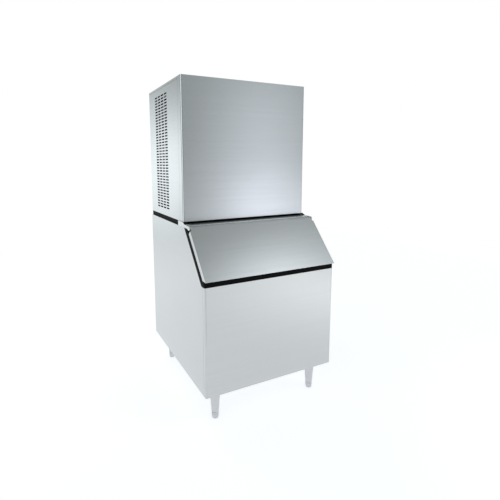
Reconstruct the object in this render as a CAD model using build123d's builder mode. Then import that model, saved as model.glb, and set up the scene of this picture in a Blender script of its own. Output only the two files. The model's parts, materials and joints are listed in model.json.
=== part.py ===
from build123d import *
import os
from math import atan2, cos, degrees, hypot, radians, sin

# Air-cooled cube-ice machine: a head with the ice-making plant, standing on an insulated
# storage bin with a slanted door. Millimetres, +Z up, the door faces -Y, and the origin
# is on the floor under the middle of the whole machine.

# Overall sizes
head_width = 760.0
head_depth = 580.0
head_height = 738.0
bin_width = 768.0
bin_depth = 857.0
bin_height = 802.0
leg_height = 170.0
spacer_height = 26.0
door_nose = 14.0  # how far the door's lower edge stands in front of the bin
rear_reach = 24.0  # how far the water fittings stand out behind

# Slanted door and its moulded frame, measured inwards from the door's outer face
ledge_rise = 16.0  # top of the hinge rail above the bin's deck
door_setback = 193.5  # from the bin's front back to the top of the slope
door_drop = 219.0  # from the bin's deck down to the door's lower edge
frame_drop = 249.0  # from the bin's deck down to the frame's lower edge
door_flange = 27.0
frame_gap = 1.0
frame_thickness = 29.0
opening_margin = 45.0  # from the top of the slope to the bin's mouth
hinge_radius = 9.0  # rolled upper edge of the door
hinge_pin_radius = 4.0
notch_length = 20.0  # how far the door's ends are cut back beside the hinge ears
ear_thickness = 6.0

# Sheet, walls and clearances
sheet = 1.2
heavy_sheet = 2.0
wall = 50.0
liner_wall = 3.0
bend = 8.0
seam = 1.0
running_clearance = 0.05
close_gap = 0.3

# Returns of the folded panels
head_return = 46.0
bin_return = 20.0
lid_skirt = 12.0

# Louvre field in the head's sides
vent_rows = 40
vent_pitch_z = 16.4
vent_columns = 4
vent_pitch_y = 59.0
vent_slot_length = 46.0
vent_slot_height = 8.6
vent_from_back = 240.0  # centre of the field, in from the head's back
vent_above_base = 365.0  # centre of the field, up from the head's base

# Legs and feet
leg_inset_x = 84.0
leg_inset_y = 78.5
leg_top_radius = 29.0
leg_tip_radius = 19.5
foot_radius = 18.5
foot_height = 38.0
stem_radius = 6.0
stem_length = 72.0
foot_travel = 25.0

# Ice-making plant
partition_from_back = 367.0
cell = 32.0
cell_columns = 12
cell_rows = 12
cell_wall = 1.6
cell_depth = 22.0
plate_back = 2.0
coil_thickness = 10.0
evaporator_above_base = 232.0
trough_above_base = 112.0
trough_height = 58.0
trough_depth = 66.0
trough_wall = 2.5
drop_length = 460.0
drop_width = 80.0
pipe_radius = 5.0
fan_radius = 112.0
fan_blades = 5
blade_lean = 28.0
shaft_radius = 4.0
condenser_width = 236.0
condenser_height = 440.0
compressor_radius = 84.0
compressor_height = 236.0

# Heights and depths that follow from the sizes above
deck = leg_height + bin_height
head_base_z = deck + spacer_height
head_top_z = head_base_z + head_height
bin_front_y = door_nose - (door_nose + bin_depth + rear_reach) / 2
bin_back_y = bin_front_y + bin_depth
head_front_y = bin_back_y - head_depth
fitting_end_y = bin_back_y + rear_reach
half_bin = bin_width / 2
half_head = head_width / 2

ledge_top = deck + ledge_rise
ledge_front_y = bin_front_y + door_setback
nose_y = bin_front_y - door_nose
nose_z = deck - door_drop
frame_foot_z = deck - frame_drop
slope = atan2(ledge_top - nose_z, ledge_front_y - nose_y)
frame_face = door_flange + frame_gap
frame_base = frame_face + frame_thickness


def on_slope(down, inward):
    """(y, z) of a point so far down the slope and so far in from the door's outer face."""
    return (
        ledge_front_y - down * cos(slope) + inward * sin(slope),
        ledge_top - down * sin(slope) - inward * cos(slope),
    )


def slope_at_height(inward, z):
    """(y, z) where the line so far inside the door's face passes the height z."""
    return on_slope((ledge_top - inward * cos(slope) - z) / sin(slope), inward)


def slope_at_depth(inward, y):
    """(y, z) where the line so far inside the door's face passes the depth y."""
    return on_slope((ledge_front_y + inward * sin(slope) - y) / cos(slope), inward)


def write(piece, name):
    """Label a finished piece and write it to its own file."""
    piece.part.label = name
    export_step(piece.part, f"parts/{name}.step")


def folded_sheet(points, radius, thickness):
    """The section of a folded sheet, thickened to the left of the run along its outer face."""
    with BuildLine() as outline:
        FilletPolyline(*points, radius=radius)
        offset(amount=thickness, side=Side.LEFT)
    make_face(outline.edges())


def pipe(points, radius, turn):
    """A bent tube, drawn as a rod that turns each corner in two mitres."""
    corners = [Vector(*point) for point in points]
    path = [corners[0]]
    for before, corner, after in zip(corners, corners[1:], corners[2:]):
        path.append(corner + (before - corner).normalized() * turn)
        path.append(corner + (after - corner).normalized() * turn)
    path.append(corners[-1])
    with BuildLine() as run:
        Polyline(*path)
    with BuildSketch(Plane(run.line @ 0, z_dir=run.line % 0)) as section:
        Circle(radius)
    sweep(section.sketch, path=run.line, transition=Transition.RIGHT)


def turned(x, y, points):
    """A solid of revolution about an upright axis, from its (radius, height) outline."""
    with BuildSketch(Plane((x, y, 0), x_dir=(1, 0, 0), z_dir=(0, -1, 0))) as half:
        with BuildLine() as outline:
            Polyline(*points, close=True)
        make_face(outline.edges())
    revolve(half.sketch, axis=Axis((x, y, 0), (0, 0, 1)))


os.makedirs("parts", exist_ok=True)

# Hinge line of the door
hinge_down = hinge_radius
hinge_y, hinge_z = on_slope(hinge_down, hinge_radius)

# Mouth of the bin on the slope: its lower edge meets the inside of the front wall
mouth_foot_y = bin_front_y + wall
mouth_down = (ledge_front_y + frame_face * sin(slope) - mouth_foot_y) / cos(slope)
mouth_length = mouth_down - opening_margin
mouth_width = bin_width - 2 * wall - 12
slope_plane = Plane(
    origin=(0, ledge_front_y, ledge_top),
    x_dir=(1, 0, 0),
    z_dir=(0, -sin(slope), cos(slope)),
)

# Chute for the falling ice, in front of the evaporator
rail_front_y = ledge_front_y + 15
rail_back_y = head_front_y + 71
partition_y = bin_back_y - partition_from_back
chute_y = partition_y - 48 - drop_width / 2

# Storage bin: outer sheets

with BuildPart() as bin_front:
    front_height = frame_foot_z - leg_height
    with BuildSketch(Plane.XY.offset(leg_height)):
        folded_sheet(
            [
                (-half_bin, bin_front_y + bin_return),
                (-half_bin, bin_front_y),
                (half_bin, bin_front_y),
                (half_bin, bin_front_y + bin_return),
            ],
            bend,
            sheet,
        )
    extrude(amount=front_height)
write(bin_front, "bin_front")


def bin_side(x):
    """One side sheet of the bin, with the slanted edge that carries the door frame."""
    side_front_y = bin_front_y + bin_return + seam
    with BuildPart() as panel:
        with BuildSketch(Plane.YZ.offset(x)):
            with BuildLine():
                Polyline(
                    (side_front_y, leg_height),
                    (side_front_y, frame_foot_z),
                    slope_at_height(frame_base, frame_foot_z),
                    slope_at_height(frame_base, deck),
                    (bin_back_y, deck),
                    (bin_back_y, leg_height),
                    close=True,
                )
            make_face()
        extrude(amount=sheet)
    return panel


bin_side_left = bin_side(-half_bin)
write(bin_side_left, "bin_side_left")
bin_side_right = bin_side(half_bin - sheet)
write(bin_side_right, "bin_side_right")

drain_z = leg_height + 26
drain_x = -0.2 * bin_width
drain_radius = 13.0
drain_wall = 3.0
collar_step = 1.5
collar_reach = 1.0
drain_collar = drain_radius + collar_step

with BuildPart() as bin_back:
    with BuildSketch(Plane.XZ.offset(-bin_back_y)):
        with Locations((0, (leg_height + deck) / 2)):
            Rectangle(bin_width - 2 * sheet, bin_height)
        with Locations((drain_x, drain_z)):
            Circle(drain_collar + close_gap, mode=Mode.SUBTRACT)
    extrude(amount=sheet)
write(bin_back, "bin_back")

with BuildPart() as bin_base:
    with BuildSketch(Plane.XY.offset(leg_height)):
        with Locations((0, (bin_front_y + bin_back_y) / 2)):
            RectangleRounded(bin_width - 2 * sheet, bin_depth - 2 * sheet, bend - sheet)
    extrude(amount=sheet)
write(bin_base, "bin_base")

with BuildPart() as bin_deck:
    with BuildSketch(Plane.XY.offset(deck - sheet)):
        deck_front_y = slope_at_height(frame_base, deck)[0]
        deck_back_y = bin_back_y - sheet
        with Locations((0, (deck_front_y + deck_back_y) / 2)):
            Rectangle(bin_width - 2 * sheet, deck_back_y - deck_front_y)
        with Locations((0, chute_y)):
            Rectangle(drop_length, drop_width, mode=Mode.SUBTRACT)
    extrude(amount=sheet)
write(bin_deck, "bin_deck")

# Storage bin: liner, insulation and drain

floor_z = leg_height + wall
ceiling_z = deck - wall


def cavity_corners(inset):
    """Corners of the bin's inside in side view, drawn in from the liner's outer face."""
    front = bin_front_y + wall + inset
    back = bin_back_y - wall - inset
    top = ceiling_z - inset
    under = frame_base + inset
    return [
        (front, floor_z + inset),
        slope_at_depth(under, front),
        slope_at_height(under, top),
        (back, top),
        (back, floor_z + inset),
    ]


def cavity():
    """The side view of the bin's inside, out to the liner's outer face."""
    with BuildLine() as outline:
        Polyline(*cavity_corners(0), close=True)
    make_face(outline.edges())


def cut_mouth():
    """Cut the bin's mouth square through the slope."""
    with BuildSketch(slope_plane) as mouth:
        with Locations((0, -(opening_margin + mouth_down) / 2)):
            RectangleRounded(mouth_width, mouth_length, 24)
    extrude(mouth.sketch, amount=-(frame_base + 3 * liner_wall), mode=Mode.SUBTRACT)


def cut_chute(low_z, high_z):
    """Cut the ice chute straight through between two heights."""
    with BuildSketch(Plane.XY.offset(low_z)) as chute:
        with Locations((0, chute_y)):
            Rectangle(drop_length, drop_width)
    extrude(chute.sketch, amount=high_z - low_z, mode=Mode.SUBTRACT)


drain_run = 120.0
drain_y = bin_back_y - drain_run
drain_cup = drain_radius + 4
cup_low_z = drain_z - drain_cup

# The liner is welded from flat panels, mitred where they meet and kept as separate solids.
outer_corners = cavity_corners(0)
inner_corners = cavity_corners(liner_wall)
liner_panels = []
for index in range(len(outer_corners)):
    with BuildPart() as wrap_panel:
        with BuildSketch(Plane.YZ):
            with BuildLine():
                Polyline(
                    outer_corners[index - 1],
                    outer_corners[index],
                    inner_corners[index],
                    inner_corners[index - 1],
                    close=True,
                )
            make_face()
        extrude(amount=mouth_width / 2, both=True)
        cut_mouth()
        cut_chute(ceiling_z - 2 * liner_wall, ceiling_z)
        with Locations((drain_x, drain_y, floor_z + liner_wall)):
            Hole(drain_cup + close_gap, depth=2 * liner_wall)
    liner_panels += wrap_panel.solids()
for hand in (-1, 1):
    with BuildPart() as end_panel:
        with BuildSketch(Plane.YZ.offset(hand * mouth_width / 2)):
            cavity()
        extrude(amount=hand * liner_wall)
    liner_panels += end_panel.solids()
export_step(Compound(liner_panels), "parts/bin_liner.step")

with BuildPart() as bin_foam:
    foam_front_y = bin_front_y + sheet
    with BuildSketch(Plane.YZ):
        with BuildLine():
            Polyline(
                (foam_front_y, leg_height + sheet),
                (foam_front_y, frame_foot_z),
                slope_at_height(frame_base, frame_foot_z),
                slope_at_height(frame_base, deck - sheet),
                (bin_back_y - sheet, deck - sheet),
                (bin_back_y - sheet, leg_height + sheet),
                close=True,
            )
        make_face()
    extrude(amount=half_bin - sheet, both=True)
    corners = bin_foam.edges().filter_by(Axis.Z).group_by(Axis.Y)[0]
    fillet(corners, radius=bend - sheet)
    with BuildSketch(Plane.YZ):
        cavity()
    extrude(amount=mouth_width / 2 + liner_wall, both=True, mode=Mode.SUBTRACT)
    cut_mouth()
    cut_chute(ceiling_z - wall, deck)
    with Locations((drain_x, drain_y, floor_z)):
        Hole(drain_cup + close_gap, depth=floor_z - cup_low_z + close_gap)
    with BuildSketch(Plane.XZ.offset(-bin_back_y)):
        with Locations((drain_x, drain_z)):
            Circle(drain_collar + close_gap)
    extrude(amount=drain_run, mode=Mode.SUBTRACT)
write(bin_foam, "bin_foam")

def back_tube(x, z, stub_radius, inner_y):
    """A tube out through the back: a collar inside the sheet and a thinner stub outside it."""
    with BuildSketch(Plane.XZ.offset(-bin_back_y - collar_reach)) as collar:
        with Locations((x, z)):
            Circle(stub_radius + collar_step)
    extrude(collar.sketch, amount=bin_back_y + collar_reach - inner_y)
    with BuildSketch(Plane.XZ.offset(-fitting_end_y)) as stub:
        with Locations((x, z)):
            Circle(stub_radius)
    extrude(stub.sketch, amount=rear_reach)


def bore_tube(x, z, bore_radius, inner_y):
    """Bore such a tube from its outer end."""
    with BuildSketch(Plane.XZ.offset(-fitting_end_y)) as bore:
        with Locations((x, z)):
            Circle(bore_radius)
    extrude(bore.sketch, amount=fitting_end_y - inner_y, mode=Mode.SUBTRACT)


with BuildPart() as bin_drain:
    with BuildSketch(Plane.XY.offset(cup_low_z)):
        with Locations((drain_x, drain_y)):
            Circle(drain_cup)
    extrude(amount=floor_z + liner_wall - cup_low_z)
    back_tube(drain_x, drain_z, drain_radius, drain_y)
    with Locations((drain_x, drain_y, floor_z + liner_wall)):
        Hole(drain_cup - drain_wall, depth=floor_z + liner_wall - drain_z + drain_radius)
    bore_tube(drain_x, drain_z, drain_radius - drain_wall, drain_y)
write(bin_drain, "bin_drain")

# Storage bin: moulded door frame, hinge rail and hinge brackets

with BuildPart() as door_frame:
    sill_z = nose_z - 2
    with BuildSketch(Plane.YZ):
        with BuildLine():
            Polyline(
                (bin_front_y, frame_foot_z),
                slope_at_height(frame_base, frame_foot_z),
                slope_at_height(frame_base, deck),
                slope_at_height(frame_face, deck),
                slope_at_height(frame_face, sill_z),
                (bin_front_y, sill_z),
                close=True,
            )
        make_face()
    extrude(amount=half_bin, both=True)
    fillet(door_frame.edges().filter_by(Axis.Z).group_by(Axis.Y)[0], radius=bend)
    cut_mouth()
write(door_frame, "door_frame")

bracket_lap = 18.0
bracket_width = bracket_lap + max(half_bin - half_head, 0)
rail_half = half_bin - bracket_width

with BuildPart() as hinge_rail:
    with BuildSketch(Plane.YZ):
        folded_sheet(
            [
                (rail_back_y, deck),
                (rail_back_y, ledge_top),
                (rail_front_y, ledge_top),
                (rail_front_y, deck),
            ],
            4,
            heavy_sheet,
        )
    extrude(amount=rail_half, both=True)
write(hinge_rail, "hinge_rail")


with BuildPart() as hinge_brackets:
    ear_radius = hinge_radius + 2
    for hand in (-1, 1):
        with BuildSketch(Plane.YZ.offset(hand * half_bin)):
            with BuildLine():
                Polyline(
                    (rail_back_y, deck),
                    (rail_back_y, head_base_z),
                    (head_front_y, head_base_z),
                    (head_front_y - spacer_height, ledge_top),
                    (rail_front_y, ledge_top),
                    (rail_front_y, deck),
                    close=True,
                )
            make_face()
        extrude(amount=-hand * bracket_width)
        with BuildSketch(Plane.YZ.offset(hand * half_bin)):
            with BuildLine():
                Polyline(
                    (rail_front_y + 1, deck),
                    (rail_front_y + 1, hinge_z + ear_radius),
                    (hinge_y, hinge_z + ear_radius),
                    on_slope(hinge_down, hinge_radius + ear_radius),
                    slope_at_height(door_flange, deck),
                    close=True,
                )
            make_face()
            with Locations((hinge_y, hinge_z)):
                Circle(ear_radius)
        extrude(amount=-hand * ear_thickness)
        with BuildSketch(Plane.YZ.offset(hand * (half_bin - ear_thickness))):
            with Locations((hinge_y, hinge_z)):
                Circle(hinge_pin_radius)
        extrude(amount=hand * (ear_thickness - sheet), mode=Mode.SUBTRACT)
write(hinge_brackets, "hinge_brackets")

pin_outer_x = half_bin - sheet
pin_inner_x = half_bin - ear_thickness - 20

with BuildPart() as hinge_pins:
    for hand in (-1, 1):
        with BuildSketch(Plane.YZ.offset(hand * pin_inner_x)):
            with Locations((hinge_y, hinge_z)):
                Circle(hinge_pin_radius)
        extrude(amount=hand * (pin_outer_x - pin_inner_x))
write(hinge_pins, "hinge_pins")

# Door: folded skin, insulation, inner liner, gasket and hinge bushes

door_half = half_bin - 1
door_neck_half = half_bin - ear_thickness - 1.5
notch_down = hinge_down + notch_length


def door_section(thickness):
    """The side view of the door, drawn in from its outer face by a sheet thickness."""
    lower_z = nose_z + thickness
    with BuildLine() as outline:
        Polyline(
            on_slope(hinge_down, thickness),
            slope_at_height(thickness, lower_z),
            slope_at_height(door_flange, lower_z),
            on_slope(hinge_down, door_flange),
            close=True,
        )
    make_face(outline.edges())
    with Locations((hinge_y, hinge_z)):
        Circle(hinge_radius - thickness)


def cut_notches(inner_half, reach):
    """Cut the door's upper ends back to leave room for the hinge ears."""
    with BuildSketch(slope_plane.offset(1)) as notches:
        for hand in (-1, 1):
            with Locations((hand * (inner_half + reach / 2), -notch_down / 2)):
                Rectangle(reach, notch_down + 2)
    extrude(notches.sketch, amount=-2 * door_flange, mode=Mode.SUBTRACT)


with BuildPart() as door_skin:
    with BuildSketch(Plane.YZ):
        door_section(0)
    extrude(amount=door_half, both=True)
    cut_notches(door_neck_half, 20)
    with BuildSketch(Plane.YZ):
        door_section(sheet)
    extrude(amount=door_neck_half - sheet, both=True, mode=Mode.SUBTRACT)
    with BuildSketch(Plane.YZ):
        with BuildLine():
            Polyline(
                on_slope(notch_down + sheet, sheet),
                slope_at_height(sheet, nose_z + sheet),
                slope_at_height(door_flange, nose_z + sheet),
                on_slope(notch_down + sheet, door_flange),
                close=True,
            )
        make_face()
    extrude(amount=door_half - sheet, both=True, mode=Mode.SUBTRACT)
    bush_radius = 6.0
    for hand in (-1, 1):
        with BuildSketch(Plane.YZ.offset(hand * door_neck_half)):
            with Locations((hinge_y, hinge_z)):
                Circle(bush_radius)
        extrude(amount=-hand * 2 * sheet, mode=Mode.SUBTRACT)
write(door_skin, "door_skin")

with BuildPart() as hinge_bushes:
    bush_length = 16.0
    for hand in (-1, 1):
        with BuildSketch(Plane.YZ.offset(hand * door_neck_half)):
            with Locations((hinge_y, hinge_z)):
                Circle(bush_radius)
                Circle(hinge_pin_radius + running_clearance, mode=Mode.SUBTRACT)
        extrude(amount=-hand * bush_length)
write(hinge_bushes, "hinge_bushes")

foam_depth = 20.0
liner_depth = 23.0
door_top = notch_down + sheet
door_end_half = door_half - sheet

with BuildPart() as door_foam:
    with BuildSketch(Plane.YZ):
        with BuildLine():
            Polyline(
                on_slope(door_top, sheet),
                slope_at_height(sheet, nose_z + sheet),
                slope_at_height(foam_depth, nose_z + sheet),
                on_slope(door_top, foam_depth),
                close=True,
            )
        make_face()
    extrude(amount=door_end_half, both=True)
write(door_foam, "door_foam")

with BuildPart() as door_liner:
    with BuildSketch(Plane.YZ):
        with BuildLine():
            Polyline(
                on_slope(door_top, foam_depth),
                slope_at_height(foam_depth, nose_z + sheet),
                slope_at_height(liner_depth, nose_z + sheet),
                on_slope(door_top, liner_depth),
                close=True,
            )
        make_face()
    extrude(amount=door_end_half, both=True)
    with BuildSketch(slope_plane.offset(-liner_depth)):
        with Locations((0, -(opening_margin + mouth_down) / 2)):
            RectangleRounded(mouth_width - 40, mouth_length - 40, 20)
    extrude(amount=-20, taper=14)
write(door_liner, "door_liner")

with BuildPart() as door_gasket:
    with BuildSketch(slope_plane.offset(-liner_depth)):
        with Locations((0, -(opening_margin + mouth_down) / 2)):
            RectangleRounded(mouth_width + 30, mouth_length + 30, 30)
            RectangleRounded(mouth_width + 6, mouth_length + 6, 22, mode=Mode.SUBTRACT)
    extrude(amount=-(frame_face - close_gap - liner_depth))
write(door_gasket, "door_gasket")

# Legs and levelling feet

leg_points = [
    (hand_x * (half_bin - leg_inset_x), y)
    for y in (bin_front_y + leg_inset_y, bin_back_y - leg_inset_y)
    for hand_x in (-1, 1)
]
leg_foot_z = foot_height + close_gap
stem_top_z = foot_height + stem_length

with BuildPart() as legs:
    bore_radius = stem_radius + running_clearance
    for x, y in leg_points:
        turned(
            x,
            y,
            [
                (0, stem_top_z + 6),
                (bore_radius, stem_top_z + 6),
                (bore_radius, leg_foot_z),
                (leg_tip_radius, leg_foot_z),
                (leg_top_radius, leg_height - 14),
                (leg_top_radius, leg_height),
                (0, leg_height),
            ],
        )
write(legs, "legs")


def levelling_foot(x, y):
    """A screwed foot with a rounded toe and a stem that runs up inside its leg."""
    with BuildPart() as foot:
        turned(
            x,
            y,
            [
                (0, 0),
                (foot_radius - 7, 0),
                (foot_radius - 2, 4),
                (foot_radius, 12),
                (foot_radius, foot_height),
                (stem_radius, foot_height),
                (stem_radius, stem_top_z),
                (0, stem_top_z),
            ],
        )
    return foot


foot_names = ["foot_front_left", "foot_front_right", "foot_back_left", "foot_back_right"]
for foot_name, (x, y) in zip(foot_names, leg_points):
    write(levelling_foot(x, y), foot_name)

# Black spacer frame between bin and head

with BuildPart() as base_spacer:
    spacer_bar = 38.0
    spacer_half = half_head - 1
    spacer_front_y = head_front_y + 7
    spacer_back_y = bin_back_y - 2
    with BuildSketch(Plane.XY.offset(deck)):
        with Locations((0, (spacer_front_y + spacer_back_y) / 2)):
            Rectangle(2 * spacer_half, spacer_back_y - spacer_front_y)
            Rectangle(
                2 * (spacer_half - spacer_bar),
                spacer_back_y - spacer_front_y - 2 * spacer_bar,
                mode=Mode.SUBTRACT,
            )
    extrude(amount=spacer_height)
    rail_room = 2 * (rail_back_y - spacer_front_y)
    with Locations((0, rail_back_y, deck)):
        Box(
            bin_width,
            rail_room,
            ledge_rise,
            align=(Align.CENTER, Align.MAX, Align.MIN),
            mode=Mode.SUBTRACT,
        )
    for hand in (-1, 1):
        with Locations((hand * rail_half, rail_back_y, deck)):
            Box(
                2 * bracket_width,
                rail_room,
                spacer_height,
                align=(Align.MIN if hand > 0 else Align.MAX, Align.MAX, Align.MIN),
                mode=Mode.SUBTRACT,
            )
write(base_spacer, "base_spacer")

# Head: base pan and outer sheets

inner_half = half_head - sheet
pan_edge = 26.0

with BuildPart() as head_base:
    pan_front_y = head_front_y + sheet
    pan_back_y = bin_back_y - sheet
    pan_depth = pan_back_y - pan_front_y
    with BuildSketch(Plane.XY.offset(head_base_z)):
        with Locations((0, (pan_front_y + pan_back_y) / 2)):
            RectangleRounded(2 * inner_half, pan_depth, bend - sheet)
    extrude(amount=pan_edge)
    with BuildSketch(Plane.XY.offset(head_base_z + heavy_sheet)):
        with Locations((0, (pan_front_y + pan_back_y) / 2)):
            RectangleRounded(2 * (inner_half - heavy_sheet), pan_depth - 2 * heavy_sheet, 5)
    extrude(amount=pan_edge, mode=Mode.SUBTRACT)
    with BuildSketch(Plane.XY.offset(head_base_z + heavy_sheet)):
        with Locations((0, chute_y)):
            Rectangle(drop_length + 2 * heavy_sheet, drop_width + 2 * heavy_sheet)
    extrude(amount=14)
    cut_chute(head_base_z, head_base_z + pan_edge)
write(head_base, "head_base")

with BuildPart() as head_front:
    with BuildSketch(Plane.XY.offset(head_base_z)):
        folded_sheet(
            [
                (-half_head, head_front_y + head_return),
                (-half_head, head_front_y),
                (half_head, head_front_y),
                (half_head, head_front_y + head_return),
            ],
            bend,
            sheet,
        )
    extrude(amount=head_height)
write(head_front, "head_front")

side_front_y = head_front_y + head_return + seam
side_top_z = head_top_z - lid_skirt - seam
vent_y = bin_back_y - vent_from_back
vent_z = head_base_z + vent_above_base


def head_side(x, columns, pitch, slot_length):
    """A side sheet of the head, punched with rows of slots that let the cooling air through."""
    with BuildPart() as panel:
        with BuildSketch(Plane.YZ.offset(x)):
            with Locations(((side_front_y + bin_back_y) / 2, (head_base_z + side_top_z) / 2)):
                Rectangle(bin_back_y - side_front_y, side_top_z - head_base_z)
            with Locations((vent_y, vent_z)):
                with GridLocations(pitch, vent_pitch_z, columns, vent_rows):
                    Rectangle(slot_length, vent_slot_height, mode=Mode.SUBTRACT)
        extrude(amount=sheet)
    return panel


head_side_left = head_side(-half_head, vent_columns, vent_pitch_y, vent_slot_length)
write(head_side_left, "head_side_left")
wide_slot_length = vent_pitch_y + vent_slot_length
head_side_right = head_side(
    half_head - sheet, vent_columns // 2, 2 * vent_pitch_y, wide_slot_length
)
write(head_side_right, "head_side_right")

with BuildPart() as head_top:
    lid_front_y = head_front_y + sheet
    lid_depth = bin_back_y - lid_front_y
    with BuildSketch(Plane.XY.offset(head_top_z - sheet)) as lid_sheet:
        with Locations((0, (lid_front_y + bin_back_y) / 2)):
            Rectangle(2 * inner_half, lid_depth)
        fillet(lid_sheet.vertices().group_by(Axis.Y)[0], radius=bend - sheet)
    extrude(amount=sheet)
    with BuildSketch(Plane.XY.offset(head_top_z - lid_skirt)):
        with BuildLine():
            Polyline(
                (-half_head, side_front_y),
                (-half_head, bin_back_y),
                (half_head, bin_back_y),
                (half_head, side_front_y),
            )
            offset(amount=sheet, side=Side.RIGHT)
        make_face()
    extrude(amount=lid_skirt)
write(head_top, "head_top")

inlet_x = 0.32 * head_width
inlet_z = head_base_z + 150
head_drain_x = -0.2 * head_width
head_drain_z = head_base_z + 50
gland_x = 0.42 * head_width
gland_z = head_base_z + 90
fitting_radius = 13.2
gland_radius = 10.0

with BuildPart() as head_back:
    with BuildSketch(Plane.XZ.offset(-bin_back_y)):
        with Locations((0, (head_base_z + side_top_z) / 2)):
            Rectangle(2 * inner_half, side_top_z - head_base_z)
        with Locations((inlet_x, inlet_z)):
            Circle(fitting_radius + collar_step + close_gap, mode=Mode.SUBTRACT)
        with Locations((head_drain_x, head_drain_z)):
            Circle(drain_collar + close_gap, mode=Mode.SUBTRACT)
        with Locations((gland_x, gland_z)):
            Circle(gland_radius + close_gap, mode=Mode.SUBTRACT)
    extrude(amount=sheet)
write(head_back, "head_back")

# Ice-making compartment, in front of the partition

floor_top_z = head_base_z + heavy_sheet
partition_wall = 2.0
partition_top_z = head_top_z - sheet
evaporator_width = cell * cell_columns + cell_wall
evaporator_height = cell * cell_rows + cell_wall
evaporator_low_z = head_base_z + evaporator_above_base
evaporator_z = evaporator_low_z + evaporator_height / 2
plate_back_y = partition_y - partition_wall - 3 - coil_thickness
plate_front_y = plate_back_y - plate_back - cell_depth
rim = 18.0
frame_half = evaporator_width / 2 + rim
coil_runs = 4
coil_edge = 30.0
coil_half = evaporator_width / 2 - 40
coil_end_x = frame_half + 20
coil_low_z = evaporator_low_z + coil_edge
coil_high_z = evaporator_low_z + evaporator_height - coil_edge
coil_pitch = (coil_high_z - coil_low_z) / (coil_runs - 1)
coil_end_y = partition_y + 26

with BuildPart() as partition:
    with BuildSketch(Plane.XZ.offset(-partition_y)):
        with Locations((0, (floor_top_z + partition_top_z) / 2)):
            Rectangle(2 * (inner_half - heavy_sheet), partition_top_z - floor_top_z)
        with Locations((coil_end_x, coil_low_z), (coil_end_x, coil_high_z)):
            Circle(coil_thickness + 2, mode=Mode.SUBTRACT)
        with Locations((head_drain_x, head_drain_z)):
            Circle(drain_collar + close_gap, mode=Mode.SUBTRACT)
    extrude(amount=partition_wall)
write(partition, "partition")

with BuildPart() as evaporator:
    with BuildSketch(Plane.XZ.offset(-plate_back_y)):
        with Locations((0, evaporator_z)):
            Rectangle(evaporator_width, evaporator_height)
    extrude(amount=plate_back + cell_depth)
    with BuildSketch(Plane.XZ.offset(-plate_front_y)):
        with Locations((0, evaporator_z)):
            with GridLocations(cell, cell, cell_columns, cell_rows):
                Rectangle(cell - cell_wall, cell - cell_wall)
    extrude(amount=-cell_depth, mode=Mode.SUBTRACT)
write(evaporator, "evaporator")

coil_y = plate_back_y + coil_thickness / 2


def coil_points():
    """The serpentine's corners, from its inlet at the foot to its outlet at the top."""
    points = [(coil_end_x, coil_end_y, coil_low_z), (coil_end_x, coil_y, coil_low_z)]
    for run in range(coil_runs):
        z = coil_low_z + run * coil_pitch
        hand = 1 if run % 2 == 0 else -1
        if run > 0:
            points.append((hand * coil_half, coil_y, z))
        if run < coil_runs - 1:
            points.append((-hand * coil_half, coil_y, z))
    points.append((coil_end_x, coil_y, coil_high_z))
    points.append((coil_end_x, coil_end_y, coil_high_z))
    return points


with BuildPart() as evaporator_coil:
    corners = coil_points()
    with BuildLine() as serpentine:
        FilletPolyline(*corners, radius=14)
    with BuildSketch(Plane(corners[0], x_dir=(1, 0, 0), z_dir=(0, -1, 0))):
        Rectangle(coil_thickness, coil_thickness)
    sweep(path=serpentine.line, transition=Transition.RIGHT)
write(evaporator_coil, "evaporator_coil")

curtain_z = evaporator_z + evaporator_height / 2 + 26
curtain_y = plate_front_y - 16
curtain_pin_radius = 3.0
curtain_half = evaporator_width / 2 + 4

with BuildPart() as evaporator_frame:
    rim_depth = partition_y - partition_wall - plate_front_y
    with BuildSketch(Plane.XZ.offset(-plate_front_y)):
        with Locations((0, evaporator_z)):
            Rectangle(2 * frame_half, evaporator_height + 2 * rim)
            Rectangle(evaporator_width, evaporator_height, mode=Mode.SUBTRACT)
    extrude(amount=-rim_depth)
    for hand in (-1, 1):
        with BuildSketch(Plane.YZ.offset(hand * frame_half)):
            with BuildLine():
                Polyline(
                    (plate_front_y + 1, curtain_z - 70),
                    (plate_front_y + 1, curtain_z + 8),
                    (curtain_y - 8, curtain_z + 8),
                    (curtain_y - 8, curtain_z - 8),
                    close=True,
                )
            make_face()
        extrude(amount=-hand * 8)
        with BuildSketch(Plane.YZ.offset(hand * (frame_half - 8))):
            with Locations((curtain_y, curtain_z)):
                Circle(curtain_pin_radius)
        extrude(amount=-hand * 9)
    with BuildSketch(Plane.YZ.offset(frame_half + 1)):
        notch = coil_thickness + 2 * close_gap
        with Locations((coil_y, coil_low_z), (coil_y, coil_high_z)):
            Rectangle(notch, notch)
    extrude(amount=-rim - 2, mode=Mode.SUBTRACT)
write(evaporator_frame, "evaporator_frame")

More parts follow.
